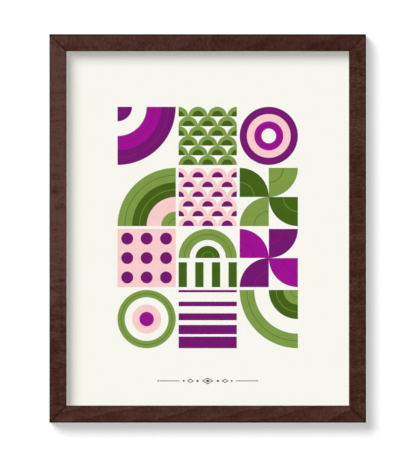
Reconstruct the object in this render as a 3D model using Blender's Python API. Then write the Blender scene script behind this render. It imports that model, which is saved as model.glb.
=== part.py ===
"""Framed wall picture in portrait format, for a sheet of 16 by 20 inches.

The picture faces -Y, +X is to the viewer's right and +Z is up. The origin is where the wall nail
carries the picture: the middle notch of the saw-tooth hanger, on the plane of the wall.
All sizes are in metres.

Every rail, tab and wedge is drawn in the frame of one side of the picture, as if that side were
the top one: x along the rail, y from the front face backwards, z outwards from the picture's
centre. Turning that frame about Y puts the piece on its own side.
"""

import math
from typing import NamedTuple

import bmesh
import bpy
from mathutils import Vector

# The sheet and the room that the rebate leaves round it.
SHEET_WIDTH = 0.4064
SHEET_HEIGHT = 0.5080
REBATE_PLAY = 0.0008

# The moulding's section.
RAIL_FACE = 0.0240
RAIL_DEPTH = 0.0240
LIP_WIDTH = 0.0040
LIP_DEPTH = 0.0150
OUTER_ROUND = 0.0012
INNER_ROUND = 0.0008
BACK_CHAMFER = 0.0005
ROUND_STEPS = 4

# Pieces that touch stand this far apart.
TOUCH = 0.0003

# The layers behind the lip, from front to back.
GLASS_THICKNESS = 0.0020
SHEET_THICKNESS = 0.0004
BACKING_THICKNESS = 0.0030
GLASS_INSET = 0.0003
SHEET_INSET = 0.0008
BACKING_INSET = 0.0005
GLASS_CHAMFER = 0.0003
BACKING_CHAMFER = 0.0004

# Corner wedges: two steel angles driven across each mitre from behind.
WEDGE_LEG = 0.0048
WEDGE_THICKNESS = 0.0007
WEDGE_HEIGHT = 0.0090
WEDGE_SETBACKS = (0.0048, 0.0118)

# Spring tabs that hold the layers in the rebate.
TAB_WIDTH = 0.0060
TAB_THICKNESS = 0.0006
TAB_REACH = 0.0105
TAB_SUNK = 0.0055
TAB_SHOULDER = 0.0022
TAB_TIP_STEPS = 8
SHORT_SIDE_TABS = (-0.102, 0.102)
LONG_SIDE_TABS = (-0.170, 0.0, 0.170)

# The saw-tooth hanger on the back of the top rail.
PLATE_LENGTH = 0.0640
PLATE_HEIGHT = 0.0110
PLATE_THICKNESS = 0.0009
PLATE_FOOT = 0.0095
PLATE_RAMP = 0.0025
PLATE_RISE = 0.0020
PLATE_END_ROUND = 0.0022
TOOTH_PITCH = 0.0026
TOOTH_DEPTH = 0.0016
TOOTH_FLAT = 0.0003
NOTCHES_EACH_SIDE = 6

# The hanger's screws, their holes and the cross recess in their heads.
SCREW_INSET = 0.0048
SHANK_RADIUS = 0.0012
SHANK_LENGTH = 0.0100
POINT_LENGTH = 0.0022
HEAD_RADIUS = 0.0026
HEAD_HEIGHT = 0.0012
HEAD_RIM = 0.0004
CROSS_LENGTH = 0.0028
CROSS_WIDTH = 0.0006
CROSS_DEPTH = 0.0007
PLATE_HOLE_RADIUS = 0.0017
SCREW_SIDES = 24

# Wall bumpers at the bottom corners.
BUMPER_RADIUS = 0.0062
BUMPER_FLAT_RADIUS = 0.0038
BUMPER_INSET = 0.0340
BUMPER_SIDES = 32
BUMPER_STEPS = 5

# Sizes that follow from those above.
BACK_WIDTH = RAIL_FACE - LIP_WIDTH
REBATE_WIDTH = SHEET_WIDTH + 2 * REBATE_PLAY
REBATE_HEIGHT = SHEET_HEIGHT + 2 * REBATE_PLAY
OUTER_WIDTH = REBATE_WIDTH + 2 * BACK_WIDTH
OUTER_HEIGHT = REBATE_HEIGHT + 2 * BACK_WIDTH
STAND_OFF = TOUCH + PLATE_RISE + PLATE_THICKNESS
FRONT_Y = -(STAND_OFF + RAIL_DEPTH)
PLATE_BOTTOM = -TOOTH_DEPTH
SCREW_X = PLATE_LENGTH / 2 - SCREW_INSET
SCREW_Z = PLATE_BOTTOM + PLATE_HEIGHT / 2
SCREW_SEAT = -STAND_OFF + TOUCH + PLATE_THICKNESS + TOUCH
CENTRE_Z = SCREW_Z + BACK_WIDTH / 2 - OUTER_HEIGHT / 2
GLASS_FRONT = LIP_DEPTH + TOUCH
SHEET_FRONT = GLASS_FRONT + GLASS_THICKNESS + TOUCH
BACKING_FRONT = SHEET_FRONT + SHEET_THICKNESS + TOUCH
TAB_FRONT = BACKING_FRONT + BACKING_THICKNESS + TOUCH


class Side(NamedTuple):
    """One side of the picture."""

    name: str
    # The corner at the low-x end of the side.
    corner: str
    # Degrees about Y from the top side.
    turn: float
    length: float
    # From the picture's centre to the side's outer edge.
    reach: float
    tabs: tuple


SIDES = (
    Side("top", "top_left", 0, OUTER_WIDTH, OUTER_HEIGHT / 2, SHORT_SIDE_TABS),
    Side("right", "top_right", 90, OUTER_HEIGHT, OUTER_WIDTH / 2, LONG_SIDE_TABS),
    Side("bottom", "bottom_right", 180, OUTER_WIDTH, OUTER_HEIGHT / 2, SHORT_SIDE_TABS),
    Side("left", "bottom_left", 270, OUTER_HEIGHT, OUTER_WIDTH / 2, LONG_SIDE_TABS),
)


def clear_scene():
    """Removes every object that the scene starts with."""
    for thing in list(bpy.data.objects):
        bpy.data.objects.remove(thing)


def make_material(name, colour, roughness, metallic=0.0, transmission=0.0):
    """Makes a plain Principled material."""
    made = bpy.data.materials.new(name)
    made.use_nodes = True
    shader = made.node_tree.nodes["Principled BSDF"]
    shader.inputs["Base Color"].default_value = (*colour, 1.0)
    shader.inputs["Roughness"].default_value = roughness
    shader.inputs["Metallic"].default_value = metallic
    shader.inputs["Transmission Weight"].default_value = transmission
    made.diffuse_color = (*colour, 1.0)
    return made


def add_object(name, bm, made_of=None):
    """Puts a finished bmesh in the scene as one object."""
    bmesh.ops.recalc_face_normals(bm, faces=bm.faces)
    mesh = bpy.data.meshes.new(name)
    bm.to_mesh(mesh)
    bm.free()
    if made_of is not None:
        mesh.materials.append(made_of)
    thing = bpy.data.objects.new(name, mesh)
    bpy.context.scene.collection.objects.link(thing)
    return thing


def add_on_side(name, bm, side, made_of=None):
    """Puts a piece drawn in the top side's frame on its own side."""
    thing = add_object(name, bm, made_of)
    thing.location = (0.0, FRONT_Y, CENTRE_Z)
    thing.rotation_euler = (0.0, math.radians(side.turn), 0.0)
    return thing


def cut_away(thing, cutter):
    """Cuts one object's solid from another's, and keeps the cutter out of sight."""
    cutter.hide_render = True
    cutter.display_type = "WIRE"
    difference = thing.modifiers.new(cutter.name, "BOOLEAN")
    difference.operation = "DIFFERENCE"
    difference.solver = "EXACT"
    difference.object = cutter


def shade_round(thing, degrees=35):
    """Shades the faces smooth, with an edge where they turn by more than this."""
    thing.data.shade_smooth()
    thing.data.set_sharp_from_angle(angle=math.radians(degrees))


def add_box(bm, low, high):
    """Adds a box between two corners."""
    size = Vector(high) - Vector(low)
    centre = (Vector(high) + Vector(low)) / 2
    for vert in bmesh.ops.create_cube(bm, size=1.0)["verts"]:
        vert.co = vert.co * size + centre


def add_prism(bm, outline, thickness):
    """Adds a prism: the outline's points, extruded along +Y."""
    verts = [bm.verts.new(point) for point in outline]
    extruded = bmesh.ops.extrude_face_region(bm, geom=[bm.faces.new(verts)])["geom"]
    moved = [part for part in extruded if isinstance(part, bmesh.types.BMVert)]
    bmesh.ops.translate(bm, verts=moved, vec=(0.0, thickness, 0.0))


def add_skin(bm, rings):
    """Adds a closed skin through rings of points, capped at both ends."""
    skin = [[bm.verts.new(point) for point in ring] for ring in rings]
    count = len(skin[0])
    for near, far in zip(skin, skin[1:]):
        for k in range(count):
            after = (k + 1) % count
            bm.faces.new((near[k], near[after], far[after], far[k]))
    bm.faces.new(skin[0])
    bm.faces.new(reversed(skin[-1]))


def add_turned(bm, profile, centre, sides):
    """Turns (radius, y) points about the Y axis through (x, z), from pole to pole."""
    x, z = centre
    rings = []
    for radius, y in profile:
        angles = [2 * math.pi * k / sides for k in range(sides if radius else 1)]
        points = [(x + radius * math.cos(a), y, z + radius * math.sin(a)) for a in angles]
        rings.append([bm.verts.new(point) for point in points])
    for near, far in zip(rings, rings[1:]):
        for k in range(sides):
            corners = (
                near[k % len(near)],
                near[(k + 1) % len(near)],
                far[(k + 1) % len(far)],
                far[k % len(far)],
            )
            bm.faces.new(list(dict.fromkeys(corners)))


def arc(centre, radius, start, end, steps):
    """Points of an arc, in degrees, both ends included."""
    angles = [math.radians(start + (end - start) * k / steps) for k in range(steps + 1)]
    return [(centre[0] + radius * math.cos(a), centre[1] + radius * math.sin(a)) for a in angles]


def rail_section():
    """The moulding's section, as (inward, backward) points from its outer front corner."""
    inner_centre = (RAIL_FACE - INNER_ROUND, INNER_ROUND)
    return [
        *arc((OUTER_ROUND, OUTER_ROUND), OUTER_ROUND, 180, 270, ROUND_STEPS),
        *arc(inner_centre, INNER_ROUND, 270, 360, ROUND_STEPS),
        (RAIL_FACE, LIP_DEPTH),
        (BACK_WIDTH, LIP_DEPTH),
        (BACK_WIDTH, RAIL_DEPTH - BACK_CHAMFER),
        (BACK_WIDTH - BACK_CHAMFER, RAIL_DEPTH),
        (BACK_CHAMFER, RAIL_DEPTH),
        (0.0, RAIL_DEPTH - BACK_CHAMFER),
    ]


def wedge_outline(setback, grow=0.0):
    """A corner angle, its apex on the mitre, as (along, inward) points from the corner."""
    low = setback - WEDGE_THICKNESS / 2 - grow
    high = setback + WEDGE_THICKNESS / 2 + grow
    end = setback + WEDGE_LEG + grow
    return [(low, low), (end, low), (end, high), (high, high), (high, end), (low, end)]


def tab_outline():
    """A spring tab, as (along, inward) points from the rebate's wall: a round end over the
    backing board and a point sunk in the wood."""
    half = TAB_WIDTH / 2
    shoulder = -TAB_SUNK + TAB_SHOULDER
    tip = arc((0.0, TAB_REACH - half), half, 0, 180, TAB_TIP_STEPS)
    return [*tip, (-half, shoulder), (0.0, -TAB_SUNK), (half, shoulder)]


def add_wedge_slots(bm, side):
    """Adds the slots that a rail's wedges stand in, at both of its ends."""
    front = RAIL_DEPTH - WEDGE_HEIGHT - TOUCH
    for end in (-1, 1):
        for setback in WEDGE_SETBACKS:
            outline = []
            for along, inward in wedge_outline(setback, TOUCH):
                outline.append((end * (along - side.length / 2), front, side.reach - inward))
            add_prism(bm, outline, WEDGE_HEIGHT + 2 * TOUCH)


def add_tab_pockets(bm, side):
    """Adds the pockets in the rebate's wall that a rail's tabs are sunk in."""
    wall = side.reach - BACK_WIDTH
    front = TAB_FRONT - TOUCH
    back = TAB_FRONT + TAB_THICKNESS + TOUCH
    half = TAB_WIDTH / 2 + TOUCH
    for place in side.tabs:
        add_box(
            bm,
            (place - half, front, wall - TOUCH),
            (place + half, back, wall + TAB_SUNK + TOUCH),
        )


def add_screw_bores(bm):
    """Adds the pilot holes of the hanger's screws, in the top side's frame."""
    bottom = SCREW_SEAT - FRONT_Y - SHANK_LENGTH - TOUCH
    mouth = RAIL_DEPTH + TOUCH
    radius = SHANK_RADIUS + TOUCH
    profile = [(0.0, bottom), (radius, bottom), (radius, mouth), (0.0, mouth)]
    for side in (-1, 1):
        add_turned(bm, profile, (side * SCREW_X, SCREW_Z - CENTRE_Z), SCREW_SIDES)


def build_rail(side, wood):
    """One rail, mitred at both ends, with the pockets of what is driven into it."""
    joint = TOUCH / 2 * math.sqrt(2)
    rings = []
    for end in (-1, 1):
        ring = []
        for inward, back in rail_section():
            ring.append((end * (side.length / 2 - inward - joint), back, side.reach - inward))
        rings.append(ring)
    bm = bmesh.new()
    add_skin(bm, rings)
    rail = add_on_side("rail_" + side.name, bm, side, wood)

    pockets = bmesh.new()
    add_wedge_slots(pockets, side)
    add_tab_pockets(pockets, side)
    if side.name == "top":
        add_screw_bores(pockets)
    cut_away(rail, add_on_side("pockets_" + side.name, pockets, side))
    shade_round(rail)
    rail.modifiers.new("flat_faces_stay_flat", "WEIGHTED_NORMAL").keep_sharp = True


def build_layer(name, made_of, front, thickness, inset, chamfer=0.0):
    """A flat layer in the rebate, inset from the rebate's walls."""
    half_width = REBATE_WIDTH / 2 - inset
    half_height = REBATE_HEIGHT / 2 - inset
    bm = bmesh.new()
    add_box(bm, (-half_width, front, -half_height), (half_width, front + thickness, half_height))
    if chamfer:
        bmesh.ops.bevel(bm, geom=list(bm.edges), offset=chamfer, segments=1, affect="EDGES")
    add_object(name, bm, made_of).location = (0.0, FRONT_Y, CENTRE_Z)


def build_wedges(side, steel):
    """The two angles across the mitre at the low-x end of a side."""
    front = RAIL_DEPTH - WEDGE_HEIGHT
    for number, setback in enumerate(WEDGE_SETBACKS, start=1):
        outline = []
        for along, inward in wedge_outline(setback):
            outline.append((along - side.length / 2, front, side.reach - inward))
        bm = bmesh.new()
        add_prism(bm, outline, WEDGE_HEIGHT)
        add_on_side(f"wedge_{side.corner}_{number}", bm, side, steel)


def build_tabs(side, steel):
    """The spring tabs of a side."""
    wall = side.reach - BACK_WIDTH
    for number, place in enumerate(side.tabs, start=1):
        outline = [(place + along, TAB_FRONT, wall - inward) for along, inward in tab_outline()]
        bm = bmesh.new()
        add_prism(bm, outline, TAB_THICKNESS)
        add_on_side(f"tab_{side.name}_{number}", bm, side, steel)


def plate_rise(x):
    """How far the hanger's strip stands off its feet at a place along it."""
    past_foot = PLATE_LENGTH / 2 - PLATE_FOOT - abs(x)
    return PLATE_RISE * min(1.0, max(0.0, past_foot / PLATE_RAMP))


def plate_edges():
    """The hanger's outline from its middle to its right end, as (x, low edge, high edge)."""
    top = PLATE_BOTTOM + PLATE_HEIGHT
    edges = [(0.0, PLATE_BOTTOM + TOOTH_DEPTH, top)]
    for k in range(NOTCHES_EACH_SIDE + 1):
        tip = (k + 0.5) * TOOTH_PITCH
        edges.append((tip - TOOTH_FLAT / 2, PLATE_BOTTOM, top))
        if k < NOTCHES_EACH_SIDE:
            edges.append((tip + TOOTH_FLAT / 2, PLATE_BOTTOM, top))
            edges.append(((k + 1) * TOOTH_PITCH, PLATE_BOTTOM + TOOTH_DEPTH, top))
    foot = PLATE_LENGTH / 2 - PLATE_FOOT
    edges.append((foot - PLATE_RAMP, PLATE_BOTTOM, top))
    edges.append((foot, PLATE_BOTTOM, top))
    round_x = PLATE_LENGTH / 2 - PLATE_END_ROUND
    for x, up in arc((round_x, 0.0), PLATE_END_ROUND, 90, 0, ROUND_STEPS):
        inset = PLATE_END_ROUND - up
        edges.append((x, PLATE_BOTTOM + inset, top - inset))
    return edges


def build_hanger_plate(steel):
    """The hanger: a strip with two feet on the wood and a raised, toothed middle."""
    right = plate_edges()
    left = [(-x, low, high) for x, low, high in reversed(right[1:])]
    rings = []
    for x, low, high in [*left, *right]:
        front = -STAND_OFF + TOUCH + plate_rise(x)
        back = front + PLATE_THICKNESS
        rings.append([(x, front, low), (x, back, low), (x, back, high), (x, front, high)])
    bm = bmesh.new()
    add_skin(bm, rings)
    plate = add_object("hanger_plate", bm, steel)

    holes = bmesh.new()
    front = -STAND_OFF
    back = SCREW_SEAT + TOUCH
    radius = PLATE_HOLE_RADIUS
    profile = [(0.0, front), (radius, front), (radius, back), (0.0, back)]
    for side in (-1, 1):
        add_turned(holes, profile, (side * SCREW_X, SCREW_Z), SCREW_SIDES)
    cut_away(plate, add_object("hanger_plate_holes", holes))
    shade_round(plate)


def screw_profile():
    """Half the outline of a pan-head screw, as (radius, y) from its point to its head."""
    rim = SCREW_SEAT + HEAD_RIM
    dome = []
    for k in range(1, ROUND_STEPS):
        angle = math.radians(90 * k / ROUND_STEPS)
        height = (HEAD_HEIGHT - HEAD_RIM) * math.sin(angle)
        dome.append((HEAD_RADIUS * math.cos(angle), rim + height))
    return [
        (0.0, SCREW_SEAT - SHANK_LENGTH),
        (SHANK_RADIUS, SCREW_SEAT - SHANK_LENGTH + POINT_LENGTH),
        (SHANK_RADIUS, SCREW_SEAT),
        (HEAD_RADIUS, SCREW_SEAT),
        (HEAD_RADIUS, rim),
        *dome,
        (0.0, SCREW_SEAT + HEAD_HEIGHT),
    ]


def build_hanger_screws(steel):
    """The two screws that hold the hanger, each with a cross recess in its head."""
    top = SCREW_SEAT + HEAD_HEIGHT
    for name, side in (("left", -1), ("right", 1)):
        x = side * SCREW_X
        bm = bmesh.new()
        add_turned(bm, screw_profile(), (x, SCREW_Z), SCREW_SIDES)
        screw = add_object("hanger_screw_" + name, bm, steel)
        arms = ((CROSS_LENGTH / 2, CROSS_WIDTH / 2), (CROSS_WIDTH / 2, CROSS_LENGTH / 2))
        for number, (across, up) in enumerate(arms, start=1):
            arm = bmesh.new()
            low = (x - across, top - CROSS_DEPTH, SCREW_Z - up)
            high = (x + across, top + CROSS_DEPTH, SCREW_Z + up)
            add_box(arm, low, high)
            cut_away(screw, add_object(f"screw_{name}_recess_{number}", arm))
        shade_round(screw)


def build_bumpers(rubber):
    """The two pads that keep the picture's foot off the wall, level with the hanger."""
    base = -STAND_OFF + TOUCH
    shoulder = BUMPER_RADIUS - BUMPER_FLAT_RADIUS
    profile = [(0.0, base), (BUMPER_RADIUS, base)]
    for k in range(1, BUMPER_STEPS + 1):
        angle = math.radians(90 * k / BUMPER_STEPS)
        radius = BUMPER_FLAT_RADIUS + shoulder * math.cos(angle)
        profile.append((radius, base - base * math.sin(angle)))
    profile.append((0.0, 0.0))
    z = CENTRE_Z - OUTER_HEIGHT / 2 + BACK_WIDTH / 2
    for name, side in (("left", -1), ("right", 1)):
        bm = bmesh.new()
        add_turned(bm, profile, (side * (OUTER_WIDTH / 2 - BUMPER_INSET), z), BUMPER_SIDES)
        shade_round(add_object("bumper_" + name, bm, rubber))


def main():
    """Builds the picture."""
    clear_scene()
    wood = make_material("stained_wood", (0.074, 0.030, 0.022), 0.55)
    glass = make_material("picture_glass", (0.95, 0.98, 0.96), 0.02, transmission=1.0)
    paper = make_material("art_paper", (0.93, 0.93, 0.86), 0.90)
    hardboard = make_material("hardboard", (0.235, 0.122, 0.058), 0.75)
    spring_steel = make_material("spring_steel", (0.30, 0.30, 0.32), 0.35, metallic=1.0)
    zinc = make_material("zinc_plated_steel", (0.62, 0.62, 0.60), 0.32, metallic=1.0)
    rubber = make_material("bumper_rubber", (0.050, 0.048, 0.046), 0.80)

    for side in SIDES:
        build_rail(side, wood)
        build_wedges(side, spring_steel)
        build_tabs(side, spring_steel)
    build_layer("glazing", glass, GLASS_FRONT, GLASS_THICKNESS, GLASS_INSET, GLASS_CHAMFER)
    build_layer("print_sheet", paper, SHEET_FRONT, SHEET_THICKNESS, SHEET_INSET)
    build_layer(
        "backing_board",
        hardboard,
        BACKING_FRONT,
        BACKING_THICKNESS,
        BACKING_INSET,
        BACKING_CHAMFER,
    )
    build_hanger_plate(zinc)
    build_hanger_screws(zinc)
    build_bumpers(rubber)


main()
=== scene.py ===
"""The looks of a framed wall picture: its stained moulding, glazing, print and back.

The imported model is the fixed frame, in metres: x to the viewer's right, y away from the viewer and
z up, with the origin where the wall nail carries the picture. Every piece made here rides on the
one body, and takes its sizes and places from the frame's nodes.
"""

import logging
import math
from collections.abc import Callable, Iterator, Sequence
from contextlib import contextmanager
from dataclasses import dataclass, field, replace
from enum import Enum
from typing import ClassVar, NamedTuple

import bmesh
import bpy
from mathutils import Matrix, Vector


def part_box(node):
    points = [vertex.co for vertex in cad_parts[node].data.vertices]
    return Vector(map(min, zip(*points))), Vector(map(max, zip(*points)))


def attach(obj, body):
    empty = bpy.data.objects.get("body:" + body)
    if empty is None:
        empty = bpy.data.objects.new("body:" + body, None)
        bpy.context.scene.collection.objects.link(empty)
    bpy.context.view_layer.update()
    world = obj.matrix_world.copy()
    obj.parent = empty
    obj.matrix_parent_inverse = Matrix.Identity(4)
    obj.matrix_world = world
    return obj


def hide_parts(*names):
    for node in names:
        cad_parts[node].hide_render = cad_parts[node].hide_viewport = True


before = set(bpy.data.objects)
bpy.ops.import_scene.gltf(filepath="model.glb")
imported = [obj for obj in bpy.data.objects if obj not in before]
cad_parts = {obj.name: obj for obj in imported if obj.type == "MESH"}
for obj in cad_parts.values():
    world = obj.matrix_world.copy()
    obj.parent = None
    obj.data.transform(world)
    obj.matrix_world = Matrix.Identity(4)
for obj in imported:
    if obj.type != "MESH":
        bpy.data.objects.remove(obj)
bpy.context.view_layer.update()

LOG = logging.getLogger("picture")
BODY = "root"

Colour = tuple[float, float, float, float]
Point = tuple[float, float]
Pair = tuple[float, float]
Band = tuple[float, float]
Socket = bpy.types.NodeSocket
Piece = bpy.types.Object


def mm(value: float) -> float:
    """Millimetres, in metres."""
    return value / 1000.0


def srgb(red: float, green: float, blue: float) -> Colour:
    """A screen colour as the linear colour that shaders take.

    Args:
        red: Red, from 0 to 255.
        green: Green, from 0 to 255.
        blue: Blue, from 0 to 255.

    Returns:
        The linear colour, opaque.
    """
    shares = (red / 255, green / 255, blue / 255)
    linear = [s / 12.92 if s <= 0.04045 else ((s + 0.055) / 1.055) ** 2.4 for s in shares]
    return (*linear, 1.0)


WHITE: Colour = (1.0, 1.0, 1.0, 1.0)
DUST = srgb(176, 168, 156)


class Waves(NamedTuple):
    """A noise: how close its waves are, and how they are broken up."""

    # Waves to the metre along each axis.
    scale: tuple[float, float, float]
    # Octaves of finer noise.
    detail: float = 2.0
    # How strong each finer octave is beside the one before it.
    rough: float = 0.5
    # How far the waves are warped.
    distortion: float = 0.0


class NodeSheet:
    """Adds the nodes of one tree and wires them."""

    ROWS: ClassVar[int] = 6
    COLUMN_WIDTH: ClassVar[int] = 220
    ROW_HEIGHT: ClassVar[int] = 260
    # The places of a Mix node's share, of its two colours and of their blend.
    MIX_INPUTS: ClassVar[tuple[int, int, int]] = (0, 6, 7)
    MIX_RESULT: ClassVar[int] = 2

    def __init__(self, tree: bpy.types.NodeTree) -> None:
        """Starts an empty tree."""
        self.tree = tree
        tree.nodes.clear()

    def add(self, kind: str, **settings: object) -> bpy.types.Node:
        """Adds a node.

        Args:
            kind: The node's type.
            **settings: The node's own properties.

        Returns:
            The new node.
        """
        column, row = divmod(len(self.tree.nodes), self.ROWS)
        node = self.tree.nodes.new(kind)
        node.location = (column * self.COLUMN_WIDTH, -row * self.ROW_HEIGHT)
        for name, value in settings.items():
            setattr(node, name, value)
        return node

    def put(self, socket: Socket, value: object) -> None:
        """Links a socket to another, or sets its plain value.

        Args:
            socket: The input that is fed.
            value: The socket or the plain value that feeds it.
        """
        if isinstance(value, Socket):
            self.tree.links.new(value, socket)
        else:
            socket.default_value = value

    def feed(self, node: bpy.types.Node, **values: object) -> bpy.types.Node:
        """Feeds a node's inputs by name.

        Args:
            node: The node.
            **values: What feeds each input, with each space in its name as an underscore.

        Returns:
            The node.
        """
        for name, value in values.items():
            self.put(node.inputs[name.replace("_", " ")], value)
        return node

    def math(self, operation: str, *values: object, clamp: bool = False) -> Socket:
        """Works out a sum.

        Args:
            operation: The Math node's operation.
            *values: The sockets or plain numbers that it works on.
            clamp: Whether the result is kept from 0 to 1.

        Returns:
            The result.
        """
        node = self.add("ShaderNodeMath", operation=operation, use_clamp=clamp)
        for socket, value in zip(node.inputs, values):
            self.put(socket, value)
        return node.outputs[0]

    def ramp(
        self,
        value: object,
        start: float,
        end: float,
        low: object = 0.0,
        high: object = 1.0,
    ) -> Socket:
        """A smooth step.

        Args:
            value: What is read.
            start: Where the step begins.
            end: Where it is complete.
            low: The result before it.
            high: The result after it.

        Returns:
            The stepped value.
        """
        node = self.add("ShaderNodeMapRange", interpolation_type="SMOOTHSTEP")
        self.feed(node, Value=value, From_Min=start, From_Max=end, To_Min=low, To_Max=high)
        return node.outputs[0]

    def blend(self, share: object, low: object, high: object) -> Socket:
        """Blends two colours.

        Args:
            share: How much of the second colour there is.
            low: The first colour.
            high: The second colour.

        Returns:
            The blended colour.
        """
        node = self.add("ShaderNodeMix", data_type="RGBA")
        for place, value in zip(self.MIX_INPUTS, (share, low, high)):
            self.put(node.inputs[place], value)
        return node.outputs[self.MIX_RESULT]

    def between(self, share: Socket, first: Socket, second: Socket) -> Socket:
        """Blends two shaders.

        Args:
            share: How much of the second shader there is.
            first: The first shader.
            second: The second shader.

        Returns:
            The blended shader.
        """
        node = self.add("ShaderNodeMixShader")
        for socket, value in zip(node.inputs, (share, first, second)):
            self.put(socket, value)
        return node.outputs[0]

    def tones(self, value: Socket, *colours: Colour) -> Socket:
        """Runs a value from 0 to 1 through evenly spaced colours.

        Args:
            value: What is read.
            *colours: The colours, from 0 up.

        Returns:
            The colour at that value.
        """
        node = self.add("ShaderNodeValToRGB")
        elements = node.color_ramp.elements
        while len(elements) < len(colours):
            elements.new(1.0)
        for number, colour in enumerate(colours):
            elements[number].position = number / (len(colours) - 1)
            elements[number].color = colour
        self.put(node.inputs[0], value)
        return node.outputs[0]

    def mapped(self, vector: Socket, **values: object) -> Socket:
        """A vector through a Mapping node."""
        return self.feed(self.add("ShaderNodeMapping"), Vector=vector, **values).outputs[0]

    def noise(self, vector: Socket, waves: Waves) -> Socket:
        """Reads a noise.

        Args:
            vector: Where it is read, in metres.
            waves: What it is like.

        Returns:
            Its value, about 0.5.
        """
        place = self.mapped(vector, Scale=waves.scale)
        node = self.add("ShaderNodeTexNoise")
        self.feed(node, Vector=place, Scale=1.0, Detail=waves.detail)
        self.feed(node, Roughness=waves.rough, Distortion=waves.distortion)
        return node.outputs["Fac"]

    def weighed(self, *parts: tuple[Socket, object]) -> Socket:
        """Adds up noises that are each about 0.5.

        Args:
            *parts: Each noise with its weight.

        Returns:
            Their sum, again about 0.5.
        """
        total: object = 0.5
        for noise, weight in parts:
            total = self.math("MULTIPLY_ADD", self.math("SUBTRACT", noise, 0.5), weight, total)
        return total

    def axes(self, vector: Socket) -> tuple[Socket, Socket, Socket]:
        """A vector's three parts."""
        node = self.feed(self.add("ShaderNodeSeparateXYZ"), Vector=vector)
        return tuple(node.outputs)

    def spot(self) -> Socket:
        """Object coordinates, which here are the frame's own metres."""
        return self.add("ShaderNodeTexCoord").outputs["Object"]

    def facing(self) -> Socket:
        """The surface's normal in the same axes."""
        return self.add("ShaderNodeTexCoord").outputs["Normal"]

    def bump(self, height: Socket, depth: float, strength: float) -> Socket:
        """A normal bent by a height from 0 to 1 that stands for this depth."""
        node = self.add("ShaderNodeBump")
        return self.feed(node, Height=height, Distance=depth, Strength=strength).outputs[0]

    def principled(self, **values: object) -> Socket:
        """A Principled shader with these inputs."""
        return self.feed(self.add("ShaderNodeBsdfPrincipled"), **values).outputs[0]

    def clear(self, **values: object) -> Socket:
        """A shader that lets light straight through."""
        return self.feed(self.add("ShaderNodeBsdfTransparent"), **values).outputs[0]


class Effect:
    """A node group that several materials share, built once.

    A subclass names its inputs, as their plain values, and its outputs, and draws its nodes.
    """

    name: ClassVar[str]
    inputs: ClassVar[dict[str, object]]
    outputs: ClassVar[tuple[str, ...]]

    @classmethod
    def draw(cls, sheet: NodeSheet, given: dict[str, Socket]) -> tuple[Socket, ...]:
        """Draws the group's nodes.

        Args:
            sheet: The group's nodes.
            given: The group's inputs by name.

        Returns:
            What feeds each output, in order.
        """
        raise NotImplementedError

    @classmethod
    def group(cls) -> bpy.types.NodeTree:
        """Makes the group the first time that it is asked for.

        Returns:
            The group.
        """
        made = bpy.data.node_groups.get(cls.name)
        if made is not None:
            return made
        made = bpy.data.node_groups.new(cls.name, "ShaderNodeTree")
        sheet = NodeSheet(made)
        for name, value in cls.inputs.items():
            kind = "NodeSocketFloat" if isinstance(value, float) else "NodeSocketVector"
            socket = made.interface.new_socket(name=name, in_out="INPUT", socket_type=kind)
            socket.default_value = value
        for name in cls.outputs:
            made.interface.new_socket(name=name, in_out="OUTPUT", socket_type="NodeSocketFloat")
        source = sheet.add("NodeGroupInput")
        given = {name: source.outputs[name] for name in cls.inputs}
        results = cls.draw(sheet, given)
        end = sheet.add("NodeGroupOutput")
        for name, result in zip(cls.outputs, results):
            sheet.put(end.inputs[name], result)
        return made

    @classmethod
    def place(cls, sheet: NodeSheet, **values: object) -> dict[str, Socket]:
        """Places the effect in a material.

        Args:
            sheet: The material's nodes.
            **values: Its inputs, each space written as an underscore.

        Returns:
            Its outputs by name.
        """
        node = sheet.add("ShaderNodeGroup", node_tree=cls.group())
        sheet.feed(node, **values)
        return {name: node.outputs[name] for name in cls.outputs}


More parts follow.
